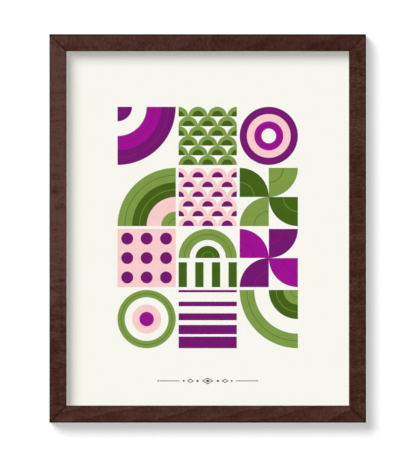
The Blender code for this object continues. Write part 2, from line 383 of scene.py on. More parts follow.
class WoodFigure(Effect):
    """The figure of a rail whose grain runs along x and whose face lies across z."""

    name = "wood_figure"
    inputs = {
        "Vector": (0.0, 0.0, 0.0),
        "Cloud": 0.4,
        "Ripple": 0.4,
        "Fleck": 0.4,
        "Ring": 0.2,
        "Rings Along": 10.0,
        "Rings Across": 20.0,
    }
    outputs = ("Tone", "Plain", "Fibre", "Pore", "Height")

    BROAD: ClassVar[Waves] = Waves((9, 30, 30))
    CLOUD: ClassVar[Waves] = Waves((45, 75, 75), detail=3, distortion=0.8)
    RIPPLE: ClassVar[Waves] = Waves((95, 8, 8), detail=4, rough=0.75, distortion=0.3)
    FLECK: ClassVar[Waves] = Waves((460, 150, 150), rough=0.6)
    VEIN: ClassVar[Waves] = Waves((34, 9, 9), detail=3)
    VEIN_WIDTH: ClassVar[float] = 0.022
    VEIN_TONE: ClassVar[float] = 0.38
    STREAK: ClassVar[Waves] = Waves((5, 230, 230), detail=4, distortion=0.5)
    FIBRE: ClassVar[Waves] = Waves((60, 2600, 2600))
    PORE: ClassVar[Waves] = Waves((260, 5200, 5200), detail=1)
    PORE_BAND: ClassVar[Band] = (0.60, 0.70)
    PORE_DEPTH: ClassVar[float] = 0.8
    # The noises that bend a year ring, each with how many rings it moves a line by.
    RING_BENDS: ClassVar[tuple[tuple[Waves, float], ...]] = (
        (Waves((11, 26, 26), detail=3), 1.8),
        (Waves((190, 260, 260)), 0.16),
    )
    # How far a ring moves across the face for each metre that it goes into the wood.
    RING_SLANT: ClassVar[float] = 0.7
    # The dark line that starts a ring: the shares of the ring where it fades out, and its tone.
    RING_LINE: ClassVar[Band] = (0.02, 0.12)
    RING_LINE_TONE: ClassVar[float] = -0.35

    @classmethod
    def rings(cls, sheet: NodeSheet, given: dict[str, Socket]) -> Socket:
        """Draws year rings that cross the rail aslant, each fading from light to dark.

        Args:
            sheet: The group's nodes.
            given: The group's inputs by name.

        Returns:
            The rings' tone.
        """
        x, y, z = sheet.axes(given["Vector"])
        run = sheet.math("MULTIPLY", x, given["Rings Along"])
        across = sheet.math("ADD", z, sheet.math("MULTIPLY", y, cls.RING_SLANT))
        place = sheet.math("SUBTRACT", run, sheet.math("MULTIPLY", across, given["Rings Across"]))
        for waves, reach in cls.RING_BENDS:
            bend = sheet.noise(given["Vector"], waves)
            place = sheet.math("MULTIPLY_ADD", bend, reach, place)
        ring = sheet.math("FRACT", place)
        return sheet.math("ADD", ring, sheet.ramp(ring, *cls.RING_LINE, cls.RING_LINE_TONE, 0.0))

    @classmethod
    def draw(cls, sheet: NodeSheet, given: dict[str, Socket]) -> tuple[Socket, ...]:
        """Draws clouds, ripples across the grain, year rings, flecks, fibres and pores.

        Args:
            sheet: The group's nodes.
            given: The group's inputs by name.

        Returns:
            The figure's tone, the plain wood's tone, the fibres, the pores and the height.
        """
        along = given["Vector"]
        broad = sheet.noise(along, cls.BROAD)
        cloud = sheet.noise(along, cls.CLOUD)
        ripple = sheet.noise(along, cls.RIPPLE)
        fleck = sheet.noise(along, cls.FLECK)
        vein = sheet.math("SUBTRACT", sheet.noise(along, cls.VEIN), 0.5)
        vein = sheet.math("ABSOLUTE", vein)
        vein = sheet.ramp(vein, 0.0, cls.VEIN_WIDTH, cls.VEIN_TONE, 0.5)
        streak = sheet.noise(along, cls.STREAK)
        fibre = sheet.noise(along, cls.FIBRE)
        pore = sheet.ramp(sheet.noise(along, cls.PORE), *cls.PORE_BAND)
        rings = cls.rings(sheet, given)
        plain = sheet.weighed((broad, 0.5), (streak, 1.0), (rings, 0.09), (fibre, 0.5))
        tone = sheet.weighed(
            (broad, 0.12),
            (cloud, given["Cloud"]),
            (ripple, given["Ripple"]),
            (vein, given["Ripple"]),
            (fleck, given["Fleck"]),
            (rings, given["Ring"]),
            (streak, 0.25),
            (fibre, 0.55),
        )
        height = sheet.math("SUBTRACT", fibre, sheet.math("MULTIPLY", pore, cls.PORE_DEPTH))
        return tone, plain, fibre, pore, height


class FramePlace(Effect):
    """Where a point lies on the moulding, seen from the front."""

    name = "frame_place"
    inputs = {
        "Vector": (0.0, 0.0, 0.0),
        "Half Width": 0.2,
        "Half Height": 0.2,
        "Centre": 0.0,
        "Front": 0.0,
    }
    outputs = ("Inward", "From Mitre", "Depth")

    @classmethod
    def draw(cls, sheet: NodeSheet, given: dict[str, Socket]) -> tuple[Socket, ...]:
        """Measures a point's place.

        Args:
            sheet: The group's nodes.
            given: The group's inputs by name.

        Returns:
            How far it is from the outer edge, from the nearest mitre and from the front face.
        """
        x, y, z = sheet.axes(given["Vector"])
        level = sheet.math("ABSOLUTE", sheet.math("SUBTRACT", z, given["Centre"]))
        across = sheet.math("SUBTRACT", given["Half Width"], sheet.math("ABSOLUTE", x))
        up = sheet.math("SUBTRACT", given["Half Height"], level)
        gap = sheet.math("ABSOLUTE", sheet.math("SUBTRACT", across, up))
        return (
            sheet.math("MINIMUM", across, up),
            sheet.math("MULTIPLY", gap, math.sqrt(0.5)),
            sheet.math("SUBTRACT", y, given["Front"]),
        )


class PaperTooth(Effect):
    """The fine tooth of a matt art paper."""

    name = "paper_tooth"
    inputs = {"Vector": (0.0, 0.0, 0.0)}
    outputs = ("Tone", "Height")

    FLOCK: ClassVar[Waves] = Waves((260, 260, 260), detail=3)
    TOOTH: ClassVar[Waves] = Waves((2600, 2600, 2600), detail=3)

    @classmethod
    def draw(cls, sheet: NodeSheet, given: dict[str, Socket]) -> tuple[Socket, ...]:
        """Draws soft flocks in the pulp and a fine grain on its face.

        Args:
            sheet: The group's nodes.
            given: The group's inputs by name.

        Returns:
            The pulp's tone and the face's height.
        """
        flock = sheet.noise(given["Vector"], cls.FLOCK)
        tooth = sheet.noise(given["Vector"], cls.TOOTH)
        return sheet.weighed((flock, 1.0), (tooth, 0.6)), tooth


class InkLay(Effect):
    """How evenly a flat ink lies, with the faint strokes that it was laid in."""

    name = "ink_lay"
    inputs = {"Vector": (0.0, 0.0, 0.0)}
    outputs = ("Tone",)

    STROKE: ClassVar[Waves] = Waves((22, 1, 420), detail=3, distortion=0.6)
    MOTTLE: ClassVar[Waves] = Waves((60, 1, 60), detail=3)

    @classmethod
    def draw(cls, sheet: NodeSheet, given: dict[str, Socket]) -> tuple[Socket, ...]:
        """Draws long level strokes and a slow mottle.

        Args:
            sheet: The group's nodes.
            given: The group's inputs by name.

        Returns:
            The ink's tone.
        """
        stroke = sheet.noise(given["Vector"], cls.STROKE)
        mottle = sheet.noise(given["Vector"], cls.MOTTLE)
        return (sheet.weighed((stroke, 1.0), (mottle, 0.8)),)


class MetalMarks(Effect):
    """The rolling lines and fine scratches of sheet steel, rolled along x."""

    name = "metal_marks"
    inputs = {"Vector": (0.0, 0.0, 0.0), "Scratch": 1.0}
    outputs = ("Tone", "Scratch", "Height")

    ROLLED: ClassVar[Waves] = Waves((90, 4200, 4200), detail=3)
    BLOOM: ClassVar[Waves] = Waves((420, 420, 420), detail=3)
    SCRATCH: ClassVar[Waves] = Waves((130, 3400, 3400), detail=1)
    SCRATCH_BAND: ClassVar[Band] = (0.66, 0.72)
    # How each set of scratches is turned from the rolling lines.
    SCRATCH_TURNS: ClassVar[tuple[float, ...]] = (0.5, -0.9)

    @classmethod
    def draw(cls, sheet: NodeSheet, given: dict[str, Socket]) -> tuple[Socket, ...]:
        """Draws rolling lines, a slow bloom and two sets of crossing scratches.

        Args:
            sheet: The group's nodes.
            given: The group's inputs by name.

        Returns:
            The steel's tone, the scratches and the height.
        """
        vector = given["Vector"]
        lines = sheet.noise(vector, cls.ROLLED)
        bloom = sheet.noise(vector, cls.BLOOM)
        sets = []
        for angle in cls.SCRATCH_TURNS:
            turned = sheet.mapped(vector, Rotation=(0.0, angle, 0.0))
            sets.append(sheet.ramp(sheet.noise(turned, cls.SCRATCH), *cls.SCRATCH_BAND))
        scratch = sheet.math("MULTIPLY", sheet.math("MAXIMUM", *sets), given["Scratch"])
        height = sheet.math("SUBTRACT", lines, scratch)
        return sheet.weighed((lines, 1.0), (bloom, 1.4)), scratch, height


class SettledDust(Effect):
    """Dust that has settled on what faces up."""

    name = "settled_dust"
    inputs = {"Vector": (0.0, 0.0, 0.0), "Normal": (0.0, 0.0, 0.0), "Amount": 0.5}
    outputs = ("Dust",)

    PATCH: ClassVar[Waves] = Waves((300, 300, 300), detail=4)
    PATCH_BAND: ClassVar[Band] = (0.3, 0.7)
    # The thinnest that the film gets between its patches.
    THIN: ClassVar[float] = 0.4
    # How far up a face looks where the film starts and is whole, and its trace elsewhere.
    UPWARD: ClassVar[Band] = (-0.2, 0.9)
    TRACE: ClassVar[float] = 0.12

    @classmethod
    def draw(cls, sheet: NodeSheet, given: dict[str, Socket]) -> tuple[Socket, ...]:
        """Draws a soft film, thickest on level faces, and a trace of it elsewhere.

        Args:
            sheet: The group's nodes.
            given: The group's inputs by name.

        Returns:
            How far dust hides the surface.
        """
        up = sheet.ramp(sheet.axes(given["Normal"])[2], *cls.UPWARD, cls.TRACE, 1.0)
        patches = sheet.ramp(sheet.noise(given["Vector"], cls.PATCH), *cls.PATCH_BAND)
        film = sheet.math("MULTIPLY_ADD", patches, 1.0 - cls.THIN, cls.THIN)
        film = sheet.math("MULTIPLY", up, film)
        return (sheet.math("MULTIPLY", film, given["Amount"], clamp=True),)


@dataclass(frozen=True)
class Finish:
    """A procedural material, made once under its name."""

    name: str

    MADE: ClassVar[dict[str, bpy.types.Material]] = {}

    def shade(self, sheet: NodeSheet) -> Socket:
        """Draws the nodes.

        Args:
            sheet: The material's nodes.

        Returns:
            The shader that the surface takes.
        """
        raise NotImplementedError

    def material(self) -> bpy.types.Material:
        """Makes the material the first time that it is asked for.

        Returns:
            The material.
        """
        if self.name not in self.MADE:
            made = bpy.data.materials.new(self.name)
            made.use_nodes = True
            sheet = NodeSheet(made.node_tree)
            surface = self.shade(sheet)
            sheet.feed(sheet.add("ShaderNodeOutputMaterial"), Surface=surface)
            self.MADE[self.name] = made
        return self.MADE[self.name]


class Lie(Enum):
    """How a long thing lies in the picture's plane, as the turn about y that lays it along x."""

    LEVEL = 0.0
    UPRIGHT = math.pi / 2


@dataclass(frozen=True)
class MouldingSize:
    """The moulding's sizes, and where its middle and its front face are."""

    half_width: float
    half_height: float
    centre: float
    front: float
    # The width of its face, and the depth from that to the glass.
    face: float
    lip_depth: float

    @classmethod
    def measured(cls) -> "MouldingSize":
        """Reads the moulding's sizes from the frame's rails.

        Returns:
            The sizes.
        """
        low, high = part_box("rail_top")
        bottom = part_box("rail_bottom")[0].z
        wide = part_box("rail_right")[1].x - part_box("rail_left")[0].x
        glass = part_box("glazing")[0].y
        return cls(
            half_width=wide / 2,
            half_height=(high.z - bottom) / 2,
            centre=(high.z + bottom) / 2,
            front=low.y,
            face=high.z - low.z,
            lip_depth=glass - low.y,
        )


@dataclass(frozen=True)
class WoodFinish(Finish):
    """Dark stain under a satin varnish, with the wood left raw behind the lip."""

    size: MouldingSize
    grain: Lie
    # How far along the figure the rail was cut.
    seed: float
    # Two places along the rail, each with the tone there, from 0, darkest, to 1: between them the
    # rail is painted lighter towards the upper left, a painted sheen of the light from there.
    near: Pair
    far: Pair
    # How strong each part of the figure is.
    cloud: float
    ripple: float
    fleck: float
    ring: float
    # Year rings to the metre, along the rail and across it.
    rings: Pair
    # How strong the dark line along the outer edge is away from the mitre tips, and with it the
    # painted highlight strip beside the line.
    pooled: float = 1.0
    # How much lighter the rail is painted at its inner edge than at its outer one: painted light,
    # which makes the top and bottom rails lighter towards the top.
    lean: float = 0.0

    STAIN: ClassVar[tuple[Colour, ...]] = (srgb(46, 18, 10), srgb(63, 37, 30), srgb(84, 58, 52))
    ARRIS: ClassVar[Colour] = srgb(34, 12, 5)
    FILLER: ClassVar[Colour] = srgb(32, 15, 8)
    RAW: ClassVar[tuple[Colour, ...]] = (srgb(134, 94, 58), srgb(173, 133, 91), srgb(200, 164, 122))
    RAW_PORE: ClassVar[Colour] = srgb(104, 70, 40)
    # Where the bands along the outer edge start and end: the dark line, and the paler strip beside
    # it, which is a painted highlight.
    EDGE_LINE_BAND: ClassVar[Band] = (mm(1.61), mm(2.3))
    HIGHLIGHT_BAND: ClassVar[Band] = (mm(3.68), mm(5.06))
    HIGHLIGHT: ClassVar[float] = 0.12
    # How far in from the front face the edges are drawn darker.
    EDGE_LINE_DEPTH: ClassVar[float] = mm(2.3)
    # The width and the darkness of the darker line along the inner edge.
    INNER_LINE_WIDTH: ClassVar[float] = mm(1.3)
    INNER_LINE: ClassVar[float] = 0.55
    # Where the bands along a mitre start and end: the darkened tip of the corner, and the
    # filler in the joint.
    TIP_BAND: ClassVar[Band] = (mm(1.56), mm(2.6))
    FILLER_BAND: ClassVar[Band] = (mm(0.2), mm(1.4))
    FILLER_COVER: ClassVar[float] = 0.85
    RAW_FILLER_COVER: ClassVar[float] = 0.6
    PORE_COVER: ClassVar[float] = 0.6
    # How far the stain has run onto the back from the outer edge, and its ragged front.
    RUN_BAND: ClassVar[Band] = (mm(-0.2), mm(1.3))
    RUN_RAGGED: ClassVar[float] = mm(2.2)
    RUN_WAVES: ClassVar[Waves] = Waves((110, 110, 110), detail=5, rough=0.6)
    # How far behind the glass the stain stops.
    STAIN_END: ClassVar[float] = mm(0.5)
    DUSTY: ClassVar[float] = 0.35
    SATIN: ClassVar[float] = 0.32
    FIBRE_ROUGH: ClassVar[float] = 0.12
    RAW_ROUGH: ClassVar[float] = 0.32

    def stain(self, sheet: NodeSheet, tone: Socket, place: dict[str, Socket]) -> Socket:
        """The stain's colour, darker along the edges and at the mitre tips, with a painted highlight
        strip beside the outer edge.

        Args:
            sheet: The material's nodes.
            tone: How light the stain is.
            place: Where the point lies on the moulding.

        Returns:
            The colour.
        """
        inward, mitre = place["Inward"], place["From Mitre"]
        # A painted highlight: a paler strip just inside the dark outer line.
        pale = sheet.ramp(inward, *self.HIGHLIGHT_BAND, self.HIGHLIGHT * self.pooled, 0.0)
        colour = sheet.tones(sheet.math("ADD", tone, pale), *self.STAIN)
        # Darker along the outer edge, fully so at the mitre tips, and along the inner edge.
        tip = sheet.ramp(mitre, *self.TIP_BAND, 1.0, self.pooled)
        outer = sheet.ramp(inward, *self.EDGE_LINE_BAND, tip, 0.0)
        face = self.size.face
        inner = sheet.ramp(inward, face - self.INNER_LINE_WIDTH, face, 0.0, self.INNER_LINE)
        shallow = sheet.ramp(place["Depth"], 0.0, self.EDGE_LINE_DEPTH, 1.0, 0.0)
        pooled = sheet.math("MULTIPLY", sheet.math("MAXIMUM", outer, inner), shallow)
        colour = sheet.blend(pooled, colour, self.ARRIS)
        filled = sheet.ramp(mitre, *self.FILLER_BAND, self.FILLER_COVER, 0.0)
        return sheet.blend(filled, colour, self.FILLER)

    def bare(self, sheet: NodeSheet, spot: Socket, place: dict[str, Socket]) -> Socket:
        """Tells the raw wood of the back from the stained wood.

        Args:
            sheet: The material's nodes.
            spot: The point.
            place: Where it lies on the moulding.

        Returns:
            How bare the wood is.
        """
        ragged = sheet.noise(spot, self.RUN_WAVES)
        reach = sheet.math("MULTIPLY_ADD", ragged, -self.RUN_RAGGED, place["Inward"])
        end = self.size.lip_depth + self.STAIN_END
        behind = sheet.math("GREATER_THAN", place["Depth"], end)
        return sheet.math("MULTIPLY", sheet.ramp(reach, *self.RUN_BAND), behind)

    def shade(self, sheet: NodeSheet) -> Socket:
        """Draws stained wood in front and at the sides, and raw wood behind.

        Args:
            sheet: The material's nodes.

        Returns:
            The shader.
        """
        spot = sheet.spot()
        along = sheet.mapped(spot, Rotation=(0.0, self.grain.value, 0.0))
        # Each rail reads its own stretch of the figure.
        shifted = sheet.mapped(along, Location=(self.seed, self.seed / 3, self.seed / 7))
        figure = WoodFigure.place(
            sheet,
            Vector=shifted,
            Cloud=self.cloud,
            Ripple=self.ripple,
            Fleck=self.fleck,
            Ring=self.ring,
            Rings_Along=self.rings[0],
            Rings_Across=self.rings[1],
        )
        place = FramePlace.place(
            sheet,
            Vector=spot,
            Half_Width=self.size.half_width,
            Half_Height=self.size.half_height,
            Centre=self.size.centre,
            Front=self.size.front,
        )
        run = sheet.axes(along)[0]
        # Painted sheen: the tone runs between the rail's two places, lighter towards the upper left.
        level = sheet.ramp(run, self.near[0], self.far[0], self.near[1], self.far[1])
        # The figure's own tone is about 0.5, which the painted lean of the light takes off again.
        low, high = -0.5 - self.lean / 2, -0.5 + self.lean / 2
        lean = sheet.ramp(place["Inward"], 0.0, self.size.face, low, high)
        tone = sheet.math("ADD", sheet.math("ADD", level, figure["Tone"]), lean)
        pored = sheet.math("MULTIPLY", figure["Pore"], self.PORE_COVER)
        stained = sheet.blend(pored, self.stain(sheet, tone, place), self.ARRIS)

        raw = sheet.blend(pored, sheet.tones(figure["Plain"], *self.RAW), self.RAW_PORE)
        joint = sheet.ramp(place["From Mitre"], *self.FILLER_BAND, self.RAW_FILLER_COVER, 0.0)
        raw = sheet.blend(joint, raw, self.RAW_PORE)
        bare = self.bare(sheet, spot, place)
        film = SettledDust.place(sheet, Vector=spot, Normal=sheet.facing(), Amount=self.DUSTY)
        dust = sheet.math("MULTIPLY", film["Dust"], bare)
        colour = sheet.blend(dust, sheet.blend(bare, stained, raw), DUST)

        satin = sheet.math("MULTIPLY_ADD", figure["Fibre"], self.FIBRE_ROUGH, self.SATIN)
        return sheet.principled(
            Base_Color=colour,
            Roughness=sheet.math("MULTIPLY_ADD", bare, self.RAW_ROUGH, satin),
            Specular_IOR_Level=0.3,
            Normal=sheet.bump(figure["Height"], depth=mm(0.06), strength=0.6),
        )


@dataclass(frozen=True)
class GlassFinish(Finish):
    """Clear float glass, faintly wiped, that lets the lamps' light through."""

    tint: Colour = (0.990, 0.994, 0.992, 1.0)

    WIPED: ClassVar[Waves] = Waves((14, 14, 40), detail=3, distortion=1.2)
    WIPED_BAND: ClassVar[Band] = (0.35, 0.75)
    HAZE: ClassVar[float] = 0.03

    def shade(self, sheet: NodeSheet) -> Socket:
        """Draws the pane, and a plain pass for light on its way to what is behind.

        Args:
            sheet: The material's nodes.

        Returns:
            The shader.
        """
        wiped = sheet.noise(sheet.spot(), self.WIPED)
        pane = sheet.principled(
            Base_Color=self.tint,
            Roughness=sheet.ramp(wiped, *self.WIPED_BAND, 0.0, self.HAZE),
            IOR=1.5,
            Transmission_Weight=1.0,
        )
        rays = sheet.add("ShaderNodeLightPath").outputs
        passing = sheet.math("MAXIMUM", rays["Is Shadow Ray"], rays["Is Diffuse Ray"])
        return sheet.between(passing, pane, sheet.clear(Color=self.tint))


@dataclass(frozen=True)
class PaperFinish(Finish):
    """Off-white matt art paper."""

    low: Colour = (0.870, 0.858, 0.799, 1.0)
    high: Colour = (0.892, 0.880, 0.821, 1.0)

    def shade(self, sheet: NodeSheet) -> Socket:
        """Draws the pulp's flocks and the face's tooth.

        Args:
            sheet: The material's nodes.

        Returns:
            The shader.
        """
        tooth = PaperTooth.place(sheet, Vector=sheet.spot())
        return sheet.principled(
            Base_Color=sheet.tones(tooth["Tone"], self.low, self.high),
            Roughness=0.9,
            Specular_IOR_Level=0.25,
            Normal=sheet.bump(tooth["Height"], depth=mm(0.03), strength=0.4),
        )


@dataclass(frozen=True)
class InkFinish(Finish):
    """A flat printed ink on the paper's tooth."""

    colour: Colour

    # The ink where it lies thickest, as a share of its colour.
    DEEP: ClassVar[float] = 0.82

    def shade(self, sheet: NodeSheet) -> Socket:
        """Draws the ink a little lighter and darker along its strokes.

        Args:
            sheet: The material's nodes.

        Returns:
            The shader.
        """
        spot = sheet.spot()
        lay = InkLay.place(sheet, Vector=spot)["Tone"]
        tooth = PaperTooth.place(sheet, Vector=spot)["Height"]
        deep = (*(self.DEEP * part for part in self.colour[:3]), 1.0)
        return sheet.principled(
            Base_Color=sheet.tones(lay, deep, self.colour),
            Roughness=0.8,
            Specular_IOR_Level=0.1,
            Normal=sheet.bump(tooth, depth=mm(0.03), strength=0.3),
        )


@dataclass(frozen=True)
class HardboardFinish(Finish):
    """Pressed wood fibre, with the screen's fine weave pressed in its back."""

    dark: Colour = srgb(92, 62, 38)
    mid: Colour = srgb(133, 97, 65)
    light: Colour = srgb(164, 127, 90)
    # How far apart the screen's wires were.
    mesh: float = mm(1.1)

    STRAND: ClassVar[Waves] = Waves((300, 1, 1200), distortion=0.8)
    STRAND_TURNS: ClassVar[tuple[float, ...]] = (0.2, 0.9, 1.7, 2.6)
    SPECK: ClassVar[Waves] = Waves((1700, 1, 1700))
    CLOUD: ClassVar[Waves] = Waves((11, 1, 7), detail=5, rough=0.6, distortion=1.5)
    FLECK: ClassVar[Waves] = Waves((520, 1, 520))
    FLECK_BAND: ClassVar[Band] = (0.66, 0.74)
    FLECK_COVER: ClassVar[float] = 0.7
    WEAVE_HEIGHT: ClassVar[float] = 0.35
    TONE_BAND: ClassVar[Band] = (0.2, 0.8)
    ROUGH: ClassVar[Band] = (0.62, 0.82)

    def shade(self, sheet: NodeSheet) -> Socket:
        """Draws crossing fibres, dark flecks and the weave.

        Args:
            sheet: The material's nodes.

        Returns:
            The shader.
        """
        spot = sheet.spot()
        parts = []
        for angle in self.STRAND_TURNS:
            turned = sheet.mapped(spot, Rotation=(0.0, angle, 0.0))
            parts.append((sheet.noise(turned, self.STRAND), 0.7))
        parts.append((sheet.noise(spot, self.SPECK), 0.9))
        parts.append((sheet.noise(spot, self.CLOUD), 0.35))
        tone = sheet.weighed(*parts)
        colour = sheet.tones(tone, self.dark, self.mid, self.light)
        fleck = sheet.noise(spot, self.FLECK)
        fleck = sheet.ramp(fleck, *self.FLECK_BAND, 0.0, self.FLECK_COVER)
        x, _, z = sheet.axes(spot)
        turns = 2 * math.pi / self.mesh
        waves = [sheet.math("SINE", sheet.math("MULTIPLY", part, turns)) for part in (x, z)]
        weave = sheet.math("MULTIPLY", *waves)
        height = sheet.math("MULTIPLY_ADD", weave, self.WEAVE_HEIGHT, tone)
        return sheet.principled(
            Base_Color=sheet.blend(fleck, colour, self.dark),
            Roughness=sheet.ramp(tone, *self.TONE_BAND, *self.ROUGH),
            Specular_IOR_Level=0.3,
            Normal=sheet.bump(height, depth=mm(0.12), strength=0.7),
        )


@dataclass(frozen=True)
class SteelFinish(Finish):
    """Sheet or wire steel, rolled, a little scratched and dusty."""

    dark: Colour
    light: Colour
    rough: float
    scratch: float
    dusty: float

    SCRATCH_COVER: ClassVar[float] = 0.5
    # How much the roughness varies with the tone, and how much dust adds to it.
    UNEVEN: ClassVar[float] = 0.2
    DUST_ROUGH: ClassVar[float] = 0.4

    def shade(self, sheet: NodeSheet) -> Socket:
        """Draws the rolling lines, the scratches and the dust.

        Args:
            sheet: The material's nodes.

        Returns:
            The shader.
        """
        spot = sheet.spot()
        marks = MetalMarks.place(sheet, Vector=spot, Scratch=self.scratch)
        film = SettledDust.place(sheet, Vector=spot, Normal=sheet.facing(), Amount=self.dusty)
        dust = film["Dust"]
        colour = sheet.tones(marks["Tone"], self.dark, self.light)
        scratched = sheet.math("MULTIPLY", marks["Scratch"], self.SCRATCH_COVER)
        colour = sheet.blend(scratched, colour, self.light)
        smoothest = self.rough - self.UNEVEN / 2
        worn = sheet.math("MULTIPLY_ADD", marks["Tone"], self.UNEVEN, smoothest)
        return sheet.principled(
            Base_Color=sheet.blend(dust, colour, DUST),
            Metallic=sheet.math("SUBTRACT", 1.0, dust),
            Roughness=sheet.math("MULTIPLY_ADD", dust, self.DUST_ROUGH, worn),
            Normal=sheet.bump(marks["Height"], depth=mm(0.02), strength=0.5),
        )


@dataclass(frozen=True)
class RubberFinish(Finish):
    """Soft black rubber, gone a little grey."""

    dark: Colour = srgb(38, 37, 36)
    light: Colour = srgb(66, 64, 62)
    dusty: float = 0.4

    BLOOM: ClassVar[Waves] = Waves((500, 500, 500), detail=4)
    BLOOM_BAND: ClassVar[Band] = (0.3, 0.7)
    ROUGH: ClassVar[Band] = (0.62, 0.8)
    GRAIN: ClassVar[Waves] = Waves((3200, 3200, 3200))

    def shade(self, sheet: NodeSheet) -> Socket:
        """Draws the bloom on its skin and the dust.

        Args:
            sheet: The material's nodes.

        Returns:
            The shader.
        """
        spot = sheet.spot()
        bloom = sheet.noise(spot, self.BLOOM)
        grain = sheet.noise(spot, self.GRAIN)
        film = SettledDust.place(sheet, Vector=spot, Normal=sheet.facing(), Amount=self.dusty)
        colour = sheet.tones(sheet.weighed((bloom, 2.0)), self.dark, self.light)
        return sheet.principled(
            Base_Color=sheet.blend(film["Dust"], colour, DUST),
            Roughness=sheet.ramp(bloom, *self.BLOOM_BAND, *self.ROUGH),
            Specular_IOR_Level=0.4,
            Normal=sheet.bump(grain, depth=mm(0.03), strength=0.5),
        )


@dataclass(frozen=True)
class PlasterFinish(Finish):
    """A plain painted wall or floor, which shows from its front alone."""

    colour: Colour

    PEEL: ClassVar[Waves] = Waves((420, 420, 420), detail=3)

    def shade(self, sheet: NodeSheet) -> Socket:
        """Draws the paint's fine orange peel on a face that is clear from behind.

        Args:
            sheet: The material's nodes.

        Returns:
            The shader.
        """
        peel = sheet.noise(sheet.spot(), self.PEEL)
        paint = sheet.principled(
            Base_Color=self.colour,
            Roughness=0.85,
            Specular_IOR_Level=0.1,
            Normal=sheet.bump(peel, depth=mm(0.05), strength=0.15),
        )
        behind = sheet.add("ShaderNodeNewGeometry").outputs["Backfacing"]
        return sheet.between(behind, paint, sheet.clear())


# In a copied node, corners that are closer than this are one corner.
MERGE = mm(0.005)
# Its triangles that turn by less than this are one face.
FLAT = math.radians(0.5)
# The least that a normal has of a direction that its face is square to.
SQUARE = 0.99
# The least that a mitre's normal has of each side's direction.
MITRED = 0.7
TO_WALL = Vector((0.0, 1.0, 0.0))
# The turn that stands a level plane up to face the viewer, and points a camera at the wall.
STANDING = (math.pi / 2, 0.0, 0.0)


def take(*pieces: Piece) -> None:
    """Selects these pieces and no others, with the first one active.

    Args:
        *pieces: The pieces, if any.
    """
    bpy.ops.object.select_all(action="DESELECT")
    for piece in pieces:
        piece.select_set(True)
    if pieces:
        bpy.context.view_layer.objects.active = pieces[0]


def set_in_place() -> None:
    """Moves the selected pieces' places, turns and scales into their meshes."""
    bpy.ops.object.transform_apply(location=True, rotation=True, scale=True)


def blank(
    name: str,
    primitive: Callable[..., object],
    stretch: Sequence[float] = (1.0, 1.0, 1.0),
    **settings: object,
) -> Piece:
    """Adds the primitive that a piece starts from.

    Args:
        name: The piece's name.
        primitive: The operator that adds the primitive.
        stretch: What the primitive is scaled by along its own axes.
        **settings: The operator's own settings.

    Returns:
        The piece, with its place in its mesh.
    """
    take()
    primitive(**settings)
    piece = bpy.context.object
    piece.name = name
    # The operators for a plane and a circle take no notice of a scale of their own.
    piece.scale = stretch
    set_in_place()
    return piece


def rod(name: str, sides: int, radius: float, start: Vector, length: float) -> Piece:
    """Adds a round rod that runs towards the wall.

    Args:
        name: The piece's name.
        sides: How many sides it has.
        radius: Its radius.
        start: The middle of the end that looks to the viewer.
        length: Its length.

    Returns:
        The rod.
    """
    return blank(
        name,
        bpy.ops.mesh.primitive_cylinder_add,
        vertices=sides,
        radius=radius,
        depth=length,
        location=start + TO_WALL * (length / 2),
        rotation=(-math.pi / 2, 0.0, 0.0),
    )


@contextmanager
def edit_mode(piece: Piece) -> Iterator[None]:
    """Holds a piece in edit mode.

    Args:
        piece: The piece that is edited.

    Yields:
        Nothing: all of the piece's faces are selected at the start.
    """
    take(piece)
    bpy.ops.object.mode_set(mode="EDIT")
    bpy.ops.mesh.select_mode(type="FACE")
    bpy.ops.mesh.select_all(action="SELECT")
    try:
        yield
    finally:
        bpy.ops.object.mode_set(mode="OBJECT")


def pick_faces(piece: Piece, wanted: Callable[[bmesh.types.BMFace], bool]) -> None:
    """Selects faces in edit mode.

    Args:
        piece: The piece in edit mode.
        wanted: Whether a face is wanted.
    """
    mesh = bmesh.from_edit_mesh(piece.data)
    for face in mesh.faces:
        face.select_set(wanted(face))
    bmesh.update_edit_mesh(piece.data)


def pick_edges(piece: Piece, wanted: Callable[[bmesh.types.BMEdge], bool]) -> None:
    """Selects edges in edit mode.

    Args:
        piece: The piece in edit mode.
        wanted: Whether an edge is wanted.
    """
    bpy.ops.mesh.select_mode(type="EDGE")
    bpy.ops.mesh.select_all(action="DESELECT")
    mesh = bmesh.from_edit_mesh(piece.data)
    for edge in mesh.edges:
        if wanted(edge):
            edge.select_set(True)
    bmesh.update_edit_mesh(piece.data)


def pick_end(piece: Piece, direction: Vector) -> None:
    """Selects, in edit mode, the outermost face that looks in a direction.

    Args:
        piece: The piece in edit mode.
        direction: The way that the face looks.
    """
    mesh = bmesh.from_edit_mesh(piece.data)
    facing = [face for face in mesh.faces if face.normal.dot(direction) > SQUARE]
    furthest = max(facing, key=lambda face: face.calc_center_median().dot(direction))
    pick_faces(piece, lambda face: face is furthest)


def draw_out(direction: Vector, distance: float, narrow: float = 1.0) -> None:
    """Extrudes the selected faces, in edit mode.

    Args:
        direction: Which way they go.
        distance: How far they go.
        narrow: What their outline is scaled by at the end.
    """
    step = direction * distance
    bpy.ops.mesh.extrude_region_move(TRANSFORM_OT_translate={"value": tuple(step)})
    if narrow != 1.0:
        bpy.ops.transform.resize(value=(narrow, narrow, narrow))


def copy_node(node: str, name: str) -> Piece:
    """Copies a node of the frame as a new piece, its loose triangles merged into faces.

    Args:
        node: The node's name.
        name: The new piece's name.

    Returns:
        The new piece.
    """
    piece = bpy.data.objects.new(name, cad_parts[node].data.copy())
    bpy.context.scene.collection.objects.link(piece)
    with edit_mode(piece):
        bpy.ops.mesh.remove_doubles(threshold=MERGE)
        bpy.ops.mesh.customdata_custom_splitnormals_clear()
        bpy.ops.mesh.dissolve_limited(angle_limit=FLAT)
    return piece


